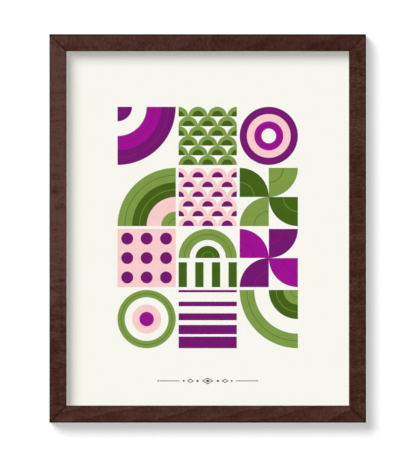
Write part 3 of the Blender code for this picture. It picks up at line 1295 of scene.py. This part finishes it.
def apply_modifier(piece: Piece, kind: str, **settings: object) -> None:
    """Puts a modifier on a piece and applies it.

    Args:
        piece: The piece.
        kind: The modifier's type.
        **settings: The modifier's own settings.
    """
    take(piece)
    made = piece.modifiers.new(kind.lower(), kind)
    for name, value in settings.items():
        setattr(made, name, value)
    bpy.ops.object.modifier_apply(modifier=made.name)


def ease(piece: Piece, width: float) -> None:
    """Rounds the sharp edges of a piece by this width."""
    apply_modifier(piece, "BEVEL", width=width, segments=2, limit_method="ANGLE")


def smooth(piece: Piece, degrees: float = 35.0) -> None:
    """Shades a piece smooth, with an edge where it turns by more than this.

    Args:
        piece: The piece.
        degrees: The most that a smooth edge turns by.
    """
    take(piece)
    bpy.ops.object.shade_smooth_by_angle(angle=math.radians(degrees))
    apply_modifier(piece, "WEIGHTED_NORMAL", keep_sharp=True)


def settle(piece: Piece, finish: Finish, slot: str, *nodes: str) -> Piece:
    """Dresses a new piece, sets it on its body and hides the nodes of the frame that it replaces.

    Args:
        piece: The finished piece.
        finish: Its material.
        slot: Not used.
        *nodes: The nodes of the frame that it replaces.

    Returns:
        The piece.
    """
    piece.data.materials.clear()
    piece.data.materials.append(finish.material())
    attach(piece, BODY)
    if nodes:
        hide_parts(*nodes)
    LOG.info("%s: %d faces, %s", piece.name, len(piece.data.polygons), finish.name)
    return piece


def dress_node(node: str, finish: Finish) -> None:
    """Gives a node that stays in view its finish.

    Args:
        node: The node's name.
        finish: Its material.
    """
    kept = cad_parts[node]
    if not kept.material_slots:
        kept.data.materials.append(None)
    for place in kept.material_slots:
        place.material = finish.material()
    LOG.info("%s: kept from the frame, %s", node, finish.name)


def is_mitred(face: bmesh.types.BMFace) -> bool:
    """Whether a face is square to the picture and at half a right angle to its sides."""
    return min(abs(face.normal.x), abs(face.normal.z)) > MITRED


@dataclass(frozen=True)
class Rail:
    """One mitred rail of the moulding."""

    node: str
    finish: WoodFinish
    # How wide a mitre's edges are eased.
    arris: float = mm(0.18)
    # How far short of the glass a mitre's edges stop being eased.
    sharp: float = mm(1.0)

    def is_mitre_edge(self, edge: bmesh.types.BMEdge) -> bool:
        """Tells the edges that bound the front part of the rail's mitred ends.

        Args:
            edge: An edge of the rail.

        Returns:
            Whether it is one of them.
        """
        ends = [is_mitred(face) for face in edge.link_faces]
        shallow = self.finish.size.front + self.finish.size.lip_depth - self.sharp
        return any(ends) and not all(ends) and all(v.co.y < shallow for v in edge.verts)

    def close_mitres(self, piece: Piece) -> None:
        """Draws both ends out along the rail until the mitres meet.

        Args:
            piece: The rail, in edit mode.
        """
        low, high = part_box(self.node)
        size = self.finish.size
        level = self.finish.grain is Lie.LEVEL
        run = Vector((1.0, 0.0, 0.0)) if level else Vector((0.0, 0.0, 1.0))
        half = size.half_width if level else size.half_height
        gap = half - (high - low).dot(run) / 2
        for way in (run, -run):
            pick_faces(piece, lambda face: face.normal.dot(way) > 0 and is_mitred(face))
            bpy.ops.transform.translate(value=way * gap)

    def build(self) -> Piece:
        """Makes the rail, with closed mitres whose sharp edges are just broken.

        Returns:
            The rail.
        """
        piece = copy_node(self.node, self.node.replace("rail", "moulding"))
        with edit_mode(piece):
            self.close_mitres(piece)
            pick_edges(piece, self.is_mitre_edge)
            bpy.ops.mesh.bevel(offset=self.arris, segments=2, clamp_overlap=True)
        smooth(piece)
        # The back lamps would otherwise colour the wall behind the wood.
        piece.visible_diffuse = False
        return settle(piece, self.finish, "frame_wood", self.node)


@dataclass(frozen=True)
class Moulding:
    """The four rails, each cut from its own length of wood."""

    size: MouldingSize = field(default_factory=MouldingSize.measured)

    def finishes(self) -> dict[str, WoodFinish]:
        """Gives each rail its own figure and tone, the tone painted lighter towards the upper left.

        Returns:
            The finishes by the rail's name.
        """
        top = self.size.centre + self.size.half_height
        wide = self.size.half_width

        def wood(side: str, grain: Lie, seed: float, **rest: object) -> WoodFinish:
            """The stained wood of one side."""
            return WoodFinish(f"stained_wood_{side}", self.size, grain, seed, **rest)

        return {
            "rail_top": wood(
                "top", Lie.LEVEL, 1.7, near=(-wide, 0.71), far=(0.6 * wide, 0.45),
                cloud=0.4, ripple=0.3, fleck=1.5, ring=0.17, rings=(10.8, 21.0), lean=-0.04,
            ),
            "rail_right": wood(
                "right", Lie.UPRIGHT, 5.3, near=(top - 0.5, 0.48), far=(top - 0.2, 0.56),
                cloud=0.5, ripple=1.15, fleck=1.5, ring=0.10, rings=(3.0, 30.0), pooled=0.35,
            ),
            "rail_bottom": wood(
                "bottom", Lie.LEVEL, 9.1, near=(-wide, 0.59), far=(wide, 0.59), cloud=0.6,
                ripple=0.4, fleck=1.2, ring=0.30, rings=(12.0, 46.0), pooled=0.8, lean=0.15,
            ),
            "rail_left": wood(
                "left", Lie.UPRIGHT, 3.9, near=(top - 0.50, 0.55), far=(top - 0.26, 0.96),
                cloud=0.45, ripple=1.8, fleck=1.3, ring=0.14, rings=(3.0, 39.0), pooled=0.25,
            ),
        }

    def build(self) -> list[Piece]:
        """The four rails."""
        return [Rail(node, finish).build() for node, finish in self.finishes().items()]


class Form(Enum):
    """What a printed patch starts as: a circle of so many sides, or at 0 a plane."""

    ROUND = 96
    LOZENGE = 4
    PANEL = 0


class Ink(Enum):
    """The print's inks, as their colours under the glass."""

    PURPLE = srgb(118, 21, 113)
    MAGENTA = srgb(161, 13, 147)
    PINK = srgb(253, 206, 207)
    LIGHT_GREEN = srgb(127, 156, 70)
    DARK_GREEN = srgb(68, 99, 21)
    CHARCOAL = srgb(62, 62, 62)

    @property
    def line(self) -> "Ink | None":
        """Picks the ink of the fine lines drawn over this one.

        Returns:
            The ink, or nothing if no lines are drawn over this one.
        """
        pairs = ((Ink.PURPLE, Ink.MAGENTA), (Ink.LIGHT_GREEN, Ink.DARK_GREEN))
        both = dict(pairs) | {second: first for first, second in pairs}
        return both.get(self)


class Lift(Enum):
    """The order in which inks lie on each other."""

    GROUND = 0
    OVER = 1
    LINE = 2


class Way(Enum):
    """A way on the sheet from a patch's centre."""

    RIGHT = (1, 0)
    UP = (0, 1)
    LEFT = (-1, 0)
    DOWN = (0, -1)

    def turned(self) -> "Way":
        """The way after a quarter turn to the left."""
        x, z = self.value
        return Way((-z, x))


@dataclass(frozen=True)
class Patch:
    """One flat printed shape, drawn round its own centre."""

    ink: Ink
    form: Form
    centre: Point
    half: Point
    # The width of the band kept along the outline, or 0 for the whole shape.
    rim: float = 0.0
    # The ways from the centre of the halves that are kept, or none for the whole shape.
    keep: tuple[Way, ...] = ()
    lift: Lift = Lift.GROUND

    def turned(self, quarters: int) -> "Patch":
        """Turns the patch to the left about its tile's centre.

        Args:
            quarters: How many quarter turns it makes.

        Returns:
            The turned patch.
        """
        if quarters % 4 == 0:
            return self
        once = replace(
            self,
            centre=(-self.centre[1], self.centre[0]),
            half=(self.half[1], self.half[0]),
            keep=tuple(way.turned() for way in self.keep),
        )
        return once.turned(quarters - 1)

    def moved(self, x: float, z: float) -> "Patch":
        """The patch moved on the sheet."""
        return replace(self, centre=(self.centre[0] + x, self.centre[1] + z))

    @property
    def shape(self) -> tuple:
        """What the patch's outline depends on, wherever it is."""
        return self.form, self.half, self.rim, self.keep


def disc(ink: Ink, centre: Point, radius: float, **rest: object) -> Patch:
    """A round patch."""
    return Patch(ink, Form.ROUND, centre, (radius, radius), **rest)


@dataclass(frozen=True)
class Tile:
    """A square of the print, drawn round its own centre."""

    side: float
    # Its inks, with none where the paper is left bare.
    inks: tuple[Ink | None, ...]
    # How many quarter turns to the left it makes.
    turn: int = 0

    # The width of the fine line along the middle of a ring.
    LINE: ClassVar[float] = mm(0.7)

    @property
    def half(self) -> float:
        """Half the tile's side."""
        return self.side / 2

    def motif(self) -> list[Patch]:
        """The tile's patches before it is turned."""
        raise NotImplementedError

    def patches(self) -> list[Patch]:
        """The tile's patches, turned."""
        return [patch.turned(self.turn) for patch in self.motif()]

    def even(self, widest: float) -> list[float]:
        """The radii of one ring for each ink, from the widest in to nothing."""
        count = len(self.inks)
        return [widest * (count - k) / count for k in range(count + 1)]

    def rings(
        self,
        centre: Point,
        radii: Sequence[float],
        keep: tuple[Way, ...] = (),
    ) -> list[Patch]:
        """Rings of the tile's inks round one centre, each with a fine line along its middle.

        Args:
            centre: Their centre.
            radii: Each ring's outer radius, and the last one's inner radius.
            keep: The halves that are kept.

        Returns:
            The rings, bare ones left out.
        """
        made = []
        for ink, outer, inner in zip(self.inks, radii, radii[1:]):
            if ink is None:
                continue
            rim = outer - inner if inner else 0.0
            made.append(disc(ink, centre, outer, rim=rim, keep=keep))
            if ink.line is not None:
                middle = (outer + inner + self.LINE) / 2
                fine = disc(ink.line, centre, middle, rim=self.LINE, keep=keep, lift=Lift.LINE)
                made.append(fine)
        return made


class Fan(Tile):
    """Quarter rings round one corner."""

    def motif(self) -> list[Patch]:
        """The rings, from the widest in."""
        return self.rings((-self.half, -self.half), self.even(self.side), (Way.RIGHT, Way.UP))


class Target(Tile):
    """Whole rings round the middle."""

    def motif(self) -> list[Patch]:
        """The rings, from the widest in."""
        return self.rings((0.0, 0.0), self.even(self.half))


class Pinwheel(Tile):
    """Four quarter discs that chase each other round the middle."""

    def motif(self) -> list[Patch]:
        """Draws the quarter discs, in two inks by turns.

        Returns:
            The discs.
        """
        made = []
        for quarter in range(4):
            single = replace(self, inks=(self.inks[quarter % 2],))
            blade = single.rings((0.0, self.half), (self.half, 0.0), (Way.RIGHT, Way.DOWN))
            made += [patch.turned(quarter) for patch in blade]
        return made


class Scallops(Tile):
    """Rows of half rings, each row set half a step on from the one below."""

    COLUMNS: ClassVar[int] = 3
    # A half ring's width beside its radius.
    BAND: ClassVar[float] = 0.42

    def motif(self) -> list[Patch]:
        """Draws the half rings and their cores, cut off at the tile's sides.

        Returns:
            The half rings, each followed by its core.
        """
        band, middle = self.inks
        radius = self.half / self.COLUMNS
        core = radius * (1 - self.BAND)
        made = []
        for row in range(2 * self.COLUMNS):
            z = row * radius - self.half
            odd = row % 2
            for column in range(self.COLUMNS + odd):
                x = (2 * column + 1 - odd) * radius - self.half
                keep = (Way.UP,)
                if odd and column == 0:
                    keep = (Way.UP, Way.RIGHT)
                if odd and column == self.COLUMNS:
                    keep = (Way.UP, Way.LEFT)
                made.append(disc(band, (x, z), radius, rim=radius - core, keep=keep))
                made.append(disc(middle, (x, z), core, keep=keep))
        return made


class Dots(Tile):
    """A square of one ink with rows of dots over it."""

    COUNT: ClassVar[int] = 3
    # A dot's radius beside the step from dot to dot.
    DOT: ClassVar[float] = 0.31

    def motif(self) -> list[Patch]:
        """Draws the ground and its dots.

        Returns:
            The ground, then the dots.
        """
        ground, dot = self.inks
        pitch = self.side / self.COUNT
        made = [Patch(ground, Form.PANEL, (0.0, 0.0), (self.half, self.half))]
        for column in range(self.COUNT):
            for row in range(self.COUNT):
                x = (column + 0.5) * pitch - self.half
                z = (row + 0.5) * pitch - self.half
                made.append(disc(dot, (x, z), pitch * self.DOT, lift=Lift.OVER))
        return made


class Bars(Tile):
    """Level bars that grow from thin to thick."""

    COUNT: ClassVar[int] = 5

    def motif(self) -> list[Patch]:
        """Draws the bars, from the top down, with gaps that shrink as they grow.

        Returns:
            The bars.
        """
        unit = self.side / self.COUNT**2
        made = []
        top = self.half
        for k in range(self.COUNT):
            thick = (k + 1) * unit
            centre = (0.0, top - thick / 2)
            made.append(Patch(self.inks[0], Form.PANEL, centre, (self.half, thick / 2)))
            top -= thick + (self.COUNT - 1 - k) * unit
        return made


class Arcade(Tile):
    """An arch of half rings on a row of upright bars."""

    PILLARS: ClassVar[int] = 4
    # The radii of the arch and of the disc under it, as shares of half the side.
    ARCH: ClassVar[tuple[float, ...]] = (1.0, 0.62, 0.42, 0.0)

    def motif(self) -> list[Patch]:
        """Draws the arch over its pillars.

        Returns:
            The arch, then the pillars.
        """
        arch, pillar = self.inks
        radii = [self.half * share for share in self.ARCH]
        rings = replace(self, inks=(arch, None, pillar)).rings((0.0, 0.0), radii, (Way.UP,))
        width = self.side / (2 * self.PILLARS - 1)
        gap = width / 2
        half = (width / 2, (self.half - gap) / 2)
        bars = []
        for k in range(self.PILLARS):
            centre = ((2 * k + 0.5) * width - self.half, -(self.half + gap) / 2)
            bars.append(Patch(pillar, Form.PANEL, centre, half))
        return rings + bars


@dataclass(frozen=True)
class Ornament:
    """A small printer's ornament: rules, dots and lozenges in a row."""

    ink: Ink = Ink.CHARCOAL
    # The middle lozenge's height, and how thick every line is.
    height: float = mm(9.6)
    line: float = mm(1.1)
    # A lozenge's width beside its height.
    wide: float = 1.7
    # The sizes of the core and of the outer lozenges beside the middle one's.
    core: float = 0.42
    outer: float = 0.62
    outer_place: float = mm(24.5)
    # Each dot's place from the middle, and its radius.
    dots: tuple[Pair, ...] = ((mm(14.5), mm(1.6)), (mm(34.0), mm(1.3)), (mm(70.0), mm(1.1)))
    rule_place: float = mm(54.0)
    rule_length: float = mm(28.0)

    def lozenge(self, x: float, size: float, rim: float = 0.0) -> Patch:
        """A lozenge in the row, its size beside the middle one's."""
        half = size * self.height / 2
        return Patch(self.ink, Form.LOZENGE, (x, 0.0), (half * self.wide, half), rim)

    def patches(self) -> list[Patch]:
        """Draws the ornament round its own centre, its left half like its right.

        Returns:
            Its patches.
        """
        made = [self.lozenge(0.0, 1.0, self.line), self.lozenge(0.0, self.core)]
        rule = (self.rule_length / 2, self.line / 2)
        for way in (-1, 1):
            for place, radius in self.dots:
                made.append(disc(self.ink, (way * place, 0.0), radius))
            made.append(self.lozenge(way * self.outer_place, self.outer, self.line))
            made.append(Patch(self.ink, Form.PANEL, (way * self.rule_place, 0.0), rule))
        return made


@dataclass
class Print:
    """The sheet and the generic geometric design printed on it."""

    # A tile's side, and the gap between tiles.
    side: float = mm(82.5)
    gap: float = mm(4.0)
    # How far above the sheet's middle the grid's middle is, and how far below it the ornament.
    rise: float = mm(1.3)
    ornament_drop: float = mm(216.0)
    # How far the first ink is off the paper, how far apart inks over each other are, and how
    # thick each is.
    clear: float = mm(0.01)
    step: float = mm(0.03)
    thick: float = mm(0.02)
    masters: dict[tuple, bpy.types.Mesh] = field(default_factory=dict)

    def tiles(self) -> list[list[Tile]]:
        """Sets out the grid.

        Returns:
            Its rows, from the top.
        """
        side = self.side
        purple, magenta, pink = Ink.PURPLE, Ink.MAGENTA, Ink.PINK
        light, dark = Ink.LIGHT_GREEN, Ink.DARK_GREEN
        return [
            [
                Fan(side, (purple, magenta, None, purple), 3),
                Scallops(side, (light, dark)),
                Target(side, (purple, pink, magenta, None)),
            ],
            [
                Fan(side, (light, dark, pink, light), 1),
                Scallops(side, (pink, purple)),
                Pinwheel(side, (light, dark)),
            ],
            [
                Dots(side, (pink, purple)),
                Arcade(side, (light, dark)),
                Pinwheel(side, (magenta, purple), 1),
            ],
            [
                Target(side, (light, None, pink, magenta)),
                Bars(side, (purple,)),
                Fan(side, (light, None, dark, light), 2),
            ],
        ]

    def patches(self) -> list[Patch]:
        """Places every patch on the sheet.

        Returns:
            The patches.
        """
        low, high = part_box("print_sheet")
        middle = (low + high) / 2
        rows = self.tiles()
        pitch = self.side + self.gap
        made = []
        for row, tiles in enumerate(rows):
            z = middle.z + self.rise + pitch * ((len(rows) - 1) / 2 - row)
            for column, tile in enumerate(tiles):
                x = middle.x + pitch * (column - (len(tiles) - 1) / 2)
                made += [patch.moved(x, z) for patch in tile.patches()]
        under = middle.z - self.ornament_drop
        made += [patch.moved(middle.x, under) for patch in Ornament().patches()]
        return made

    def master(self, patch: Patch) -> bpy.types.Mesh:
        """Models a patch's solid at the origin, once for all patches of its shape.

        Args:
            patch: The patch.

        Returns:
            The solid's mesh.
        """
        if patch.shape in self.masters:
            return self.masters[patch.shape]
        start = {"stretch": (*patch.half, 1.0), "rotation": STANDING}
        if patch.form is Form.PANEL:
            piece = blank("master", bpy.ops.mesh.primitive_plane_add, size=2.0, **start)
        else:
            start |= {"vertices": patch.form.value, "radius": 1.0, "fill_type": "NGON"}
            piece = blank("master", bpy.ops.mesh.primitive_circle_add, **start)
        with edit_mode(piece):
            if patch.rim:
                bpy.ops.mesh.inset(thickness=patch.rim)
                bpy.ops.mesh.delete(type="FACE")
            for way in patch.keep:
                x, z = way.value
                bpy.ops.mesh.select_all(action="SELECT")
                bpy.ops.mesh.bisect(
                    plane_co=(0.0, 0.0, 0.0), plane_no=(x, 0.0, z), clear_inner=True
                )
            bpy.ops.mesh.select_all(action="SELECT")
            draw_out(-TO_WALL, self.thick)
        self.masters[patch.shape] = piece.data
        bpy.data.objects.remove(piece)
        return self.masters[patch.shape]

    def lay(self, patch: Patch) -> Piece:
        """Puts a copy of a patch's solid in its place on the sheet.

        Args:
            patch: The patch.

        Returns:
            The solid.
        """
        piece = bpy.data.objects.new("patch", self.master(patch).copy())
        bpy.context.scene.collection.objects.link(piece)
        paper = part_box("print_sheet")[0].y
        off = self.clear + self.step * patch.lift.value
        piece.location = (patch.centre[0], paper - off, patch.centre[1])
        return piece

    def build(self) -> list[Piece]:
        """Makes the sheet's finish, and one piece for all that is printed in each ink.

        Returns:
            The inks.
        """
        dress_node("print_sheet", PaperFinish("matt_paper"))
        placed = self.patches()
        made = []
        for ink in Ink:
            laid = [self.lay(patch) for patch in placed if patch.ink is ink]
            take(*laid)
            set_in_place()
            bpy.ops.object.join()
            whole = laid[0]
            whole.name = f"ink_{ink.name.lower()}"
            made.append(settle(whole, InkFinish(whole.name, ink.value), "art_paper"))
        for mesh in self.masters.values():
            bpy.data.meshes.remove(mesh)
        return made


@dataclass(frozen=True)
class Back:
    """What closes the picture from behind: the board, the spring tabs and the wedges."""

    # How wide a tab's sheared edges are eased.
    edge: float = mm(0.12)
    steel: SteelFinish = SteelFinish(
        "rolled_steel",
        dark=srgb(96, 97, 102),
        light=srgb(150, 151, 156),
        rough=0.36,
        scratch=0.8,
        dusty=0.25,
    )

    def tab(self, node: str) -> Piece:
        """Makes a spring tab, its sheared edges eased.

        Args:
            node: The tab's node.

        Returns:
            The tab.
        """
        piece = copy_node(node, f"spring_{node}")
        ease(piece, self.edge)
        smooth(piece)
        return settle(piece, self.steel, "spring_steel", node)

    def build(self) -> list[Piece]:
        """Dresses the board and the wedges as they are, and makes the tabs.

        Returns:
            The tabs.
        """
        dress_node("backing_board", HardboardFinish("pressed_hardboard"))
        nodes = sorted(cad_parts)
        for node in nodes:
            if node.startswith("wedge_"):
                dress_node(node, self.steel)
        return [self.tab(node) for node in nodes if node.startswith("tab_")]


class Side(Enum):
    """Which of two like pieces it is, seen from the front."""

    LEFT = "left"
    RIGHT = "right"


@dataclass(frozen=True)
class Hanger:
    """The saw-tooth hanger and its two cross-head screws."""

    # How wide the plate's edges are eased.
    edge: float = mm(0.1)
    sides: int = 48
    head_radius: float = mm(2.6)
    head_height: float = mm(1.2)
    rim_height: float = mm(0.4)
    dome_steps: int = 6
    # How much of each of the dome's steps is taken, so that a flat stays on its crown.
    step_share: float = 0.999
    shank_radius: float = mm(1.2)
    point_length: float = mm(2.2)
    # The point's width beside the shank's.
    point_width: float = 0.1
    slot_length: float = mm(3.4)
    slot_width: float = mm(0.72)
    slot_depth: float = mm(0.8)
    # The floor of a slot beside its mouth: its length, and its width.
    slot_floor: Pair = (0.55, 0.85)
    zinc: SteelFinish = SteelFinish(
        "bright_zinc",
        dark=srgb(172, 175, 178),
        light=srgb(222, 222, 216),
        rough=0.30,
        scratch=0.6,
        dusty=0.3,
    )

    def screw(self, side: Side) -> Piece:
        """Makes a pan-head screw where its node stands.

        Args:
            side: Which of the two it is.

        Returns:
            The screw.
        """
        node = f"hanger_screw_{side.value}"
        low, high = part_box(node)
        middle = (low + high) / 2
        seat = high.y - self.head_height
        start = Vector((middle.x, seat, middle.z))
        name = f"cross_head_screw_{side.value}"
        piece = rod(name, self.sides, self.head_radius, start, self.rim_height)
        dome = self.head_height - self.rim_height
        quarter = math.pi / 2
        with edit_mode(piece):
            pick_end(piece, TO_WALL)
            for k in range(self.dome_steps):
                now = quarter * k / self.dome_steps
                then = quarter * (k + self.step_share) / self.dome_steps
                rise = dome * (math.sin(then) - math.sin(now))
                draw_out(TO_WALL, rise, math.cos(then) / math.cos(now))
            pick_end(piece, -TO_WALL)
            bpy.ops.mesh.inset(thickness=self.head_radius - self.shank_radius)
            draw_out(-TO_WALL, seat - low.y - self.point_length)
            draw_out(-TO_WALL, self.point_length, self.point_width)
        for lie in Lie:
            self.cut_slot(piece, Vector((middle.x, high.y, middle.z)), lie)
        smooth(piece, 40.0)
        return settle(piece, self.zinc, "zinc_plated_steel", node)

    def cut_slot(self, screw: Piece, crown: Vector, lie: Lie) -> None:
        """Cuts one tapered slot of the cross recess.

        Args:
            screw: The screw.
            crown: The crown of its head.
            lie: Which way the slot runs.
        """
        size = Vector((self.slot_length, 2 * self.slot_depth, self.slot_width))
        taper = Vector((self.slot_floor[0], 1.0, self.slot_floor[1]))
        if lie is Lie.UPRIGHT:
            size, taper = size.zyx, taper.zyx
        cube = bpy.ops.mesh.primitive_cube_add
        cutter = blank("slot_cutter", cube, stretch=size, size=1.0, location=crown)
        with edit_mode(cutter):
            pick_end(cutter, -TO_WALL)
            bpy.ops.transform.resize(value=taper)
        apply_modifier(screw, "BOOLEAN", operation="DIFFERENCE", solver="EXACT", object=cutter)
        bpy.data.objects.remove(cutter)

    def build(self) -> list[Piece]:
        """Makes the plate and its screws.

        Returns:
            The plate, then the screws.
        """
        plate = copy_node("hanger_plate", "saw_tooth_hanger")
        ease(plate, self.edge)
        smooth(plate)
        settle(plate, self.zinc, "zinc_plated_steel", "hanger_plate")
        return [plate, *(self.screw(side) for side in Side)]


@dataclass(frozen=True)
class Bumpers:
    """The two soft pads at the foot."""

    sides: int = 64
    # How wide a pad is rounded towards the wall and at the wood, and in how many steps.
    crown: float = mm(2.4)
    crown_steps: int = 8
    foot: float = mm(0.15)
    foot_steps: int = 2
    rubber: RubberFinish = RubberFinish("black_rubber")

    def pad(self, side: Side) -> Piece:
        """Makes a pad with a rounded crown, where its node stands.

        Args:
            side: Which of the two it is.

        Returns:
            The pad.
        """
        node = f"bumper_{side.value}"
        low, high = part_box(node)
        middle = (low + high) / 2
        start = Vector((middle.x, low.y, middle.z))
        name = f"wall_bumper_{side.value}"
        piece = rod(name, self.sides, (high.x - low.x) / 2, start, high.y - low.y)
        crown = (TO_WALL, self.crown, self.crown_steps)
        foot = (-TO_WALL, self.foot, self.foot_steps)
        with edit_mode(piece):
            for way, width, steps in (crown, foot):
                bpy.ops.mesh.select_mode(type="FACE")
                pick_end(piece, way)
                bpy.ops.mesh.region_to_loop()
                bpy.ops.mesh.bevel(offset=width, segments=steps)
        smooth(piece, 50.0)
        return settle(piece, self.rubber, "bumper_rubber", node)

    def build(self) -> list[Piece]:
        """Both pads."""
        return [self.pad(side) for side in Side]


@dataclass(frozen=True)
class Sun:
    """A far soft lamp."""

    name: str
    # The way that its light goes.
    travel: tuple[float, float, float]
    # What it adds to the brightness of a white face that is square to it.
    share: float
    # How wide it is in the sky, in degrees.
    spread: float

    def build(self) -> None:
        """Adds the lamp, which gloss and glass don't show."""
        way = Vector(self.travel).normalized()
        lamp = bpy.data.lights.new(self.name, "SUN")
        lamp.energy = self.share * math.pi
        lamp.angle = math.radians(self.spread)
        holder = bpy.data.objects.new(self.name, lamp)
        holder.rotation_mode = "QUATERNION"
        holder.rotation_quaternion = way.to_track_quat("-Z", "Y")
        holder.visible_glossy = False
        holder.visible_transmission = False
        bpy.context.scene.collection.objects.link(holder)


@dataclass(frozen=True)
class Studio:
    """A white wall, a pale floor and soft light, with the camera square on and far off."""

    # The lens and its sensor in millimetres, and the distance from the moulding's front.
    lens: float = 600.0
    sensor: float = 36.0
    distance: float = 10.725
    # Where the camera stands beside and above the moulding's middle.
    beside: float = mm(0.41)
    above: float = mm(1.29)
    wall_half_width: float = 1.5
    wall_top: float = 1.1
    floor_level: float = -1.4
    floor_reach: float = 80.0
    wall_paint: Colour = (0.98, 0.98, 0.98, 1.0)
    floor_paint: Colour = (0.81, 0.81, 0.80, 1.0)
    ambient: float = 0.05
    # What gloss sees of the surround: towards the viewer, everywhere else, and low down.
    gloss_front: float = 0.04
    gloss_round: float = 0.85
    gloss_low: float = 0.45
    # How far towards the wall, and how far up, a direction points where that changes.
    gloss_turn: Band = (-0.7, 0.9)
    gloss_fall: Band = (-0.7, 0.7)
    suns: tuple[Sun, ...] = (
        Sun("key", (0.62, 1.0, -0.68), 0.876, 38.0),
        Sun("fill", (0.0, 1.0, 0.0), 0.49, 1.5),
        Sun("back_left", (0.7, -1.0, -0.6), 0.85, 24.0),
        Sun("back_right", (-0.6, -1.0, -0.3), 0.45, 24.0),
        Sun("side_left", (1.0, -0.12, -0.3), 0.55, 20.0),
        Sun("side_right", (-1.0, -0.12, -0.3), 0.55, 20.0),
    )

    def camera(self) -> None:
        """Sets the camera."""
        moulding = MouldingSize.measured()
        place = (self.beside, moulding.front - self.distance, moulding.centre + self.above)
        lens = bpy.data.cameras.new("camera")
        lens.lens = self.lens
        lens.sensor_width = self.sensor
        holder = bpy.data.objects.new("camera", lens)
        holder.location = place
        holder.rotation_euler = STANDING
        bpy.context.scene.collection.objects.link(holder)
        bpy.context.scene.camera = holder

    def world(self) -> None:
        """Sets a white surround that gives a little even light, and dark gloss in front."""
        world = bpy.data.worlds.new("surround")
        world.use_nodes = True
        sheet = NodeSheet(world.node_tree)
        rays = sheet.add("ShaderNodeLightPath").outputs
        _, away, up = sheet.axes(sheet.add("ShaderNodeTexCoord").outputs["Generated"])
        gloss = sheet.ramp(away, *self.gloss_turn, self.gloss_front, self.gloss_round)
        fall = sheet.ramp(up, *self.gloss_fall, self.gloss_low, 1.0)
        gloss = sheet.math("MULTIPLY", gloss, fall)
        seen = sheet.math("SUBTRACT", gloss, self.ambient)
        seen = sheet.math("MULTIPLY", rays["Is Glossy Ray"], seen)
        level = sheet.math("ADD", seen, self.ambient)
        level = sheet.math("MAXIMUM", level, rays["Is Camera Ray"])
        shown = sheet.add("ShaderNodeBackground")
        sheet.feed(shown, Color=WHITE, Strength=level)
        end = sheet.add("ShaderNodeOutputWorld")
        sheet.feed(end, Surface=shown.outputs[0])
        bpy.context.scene.world = world

    def backdrop(self, name: str, paint: Colour, **place: object) -> None:
        """Adds a flat backdrop that the camera alone sees, so that it hides no lamp.

        Args:
            name: The backdrop's name.
            paint: Its colour.
            **place: The plane's size, place, turn and stretch.
        """
        plane = blank(name, bpy.ops.mesh.primitive_plane_add, **place)
        plane.data.materials.append(PlasterFinish(f"{name}_paint", paint).material())
        for ray in ("shadow", "diffuse", "glossy", "transmission"):
            setattr(plane, f"visible_{ray}", False)

    def build(self) -> None:
        """Sets the stage."""
        bpy.context.scene.view_settings.view_transform = "Standard"
        self.camera()
        self.world()
        self.backdrop(
            "wall",
            self.wall_paint,
            stretch=(2 * self.wall_half_width, self.wall_top - self.floor_level, 1.0),
            size=1.0,
            location=(0.0, 0.0, (self.floor_level + self.wall_top) / 2),
            rotation=STANDING,
        )
        self.backdrop(
            "floor",
            self.floor_paint,
            size=2 * self.floor_reach,
            location=(0.0, 0.0, self.floor_level),
        )
        for sun in self.suns:
            sun.build()


def main() -> None:
    """Builds the picture's pieces in order and sets the stage round them."""
    logging.basicConfig(level=logging.INFO, format="%(name)s: %(message)s")
    Studio().build()
    Moulding().build()
    dress_node("glazing", GlassFinish("clear_glass"))
    Print().build()
    Back().build()
    Hanger().build()
    Bumpers().build()


if __name__ == "__main__":
    main()
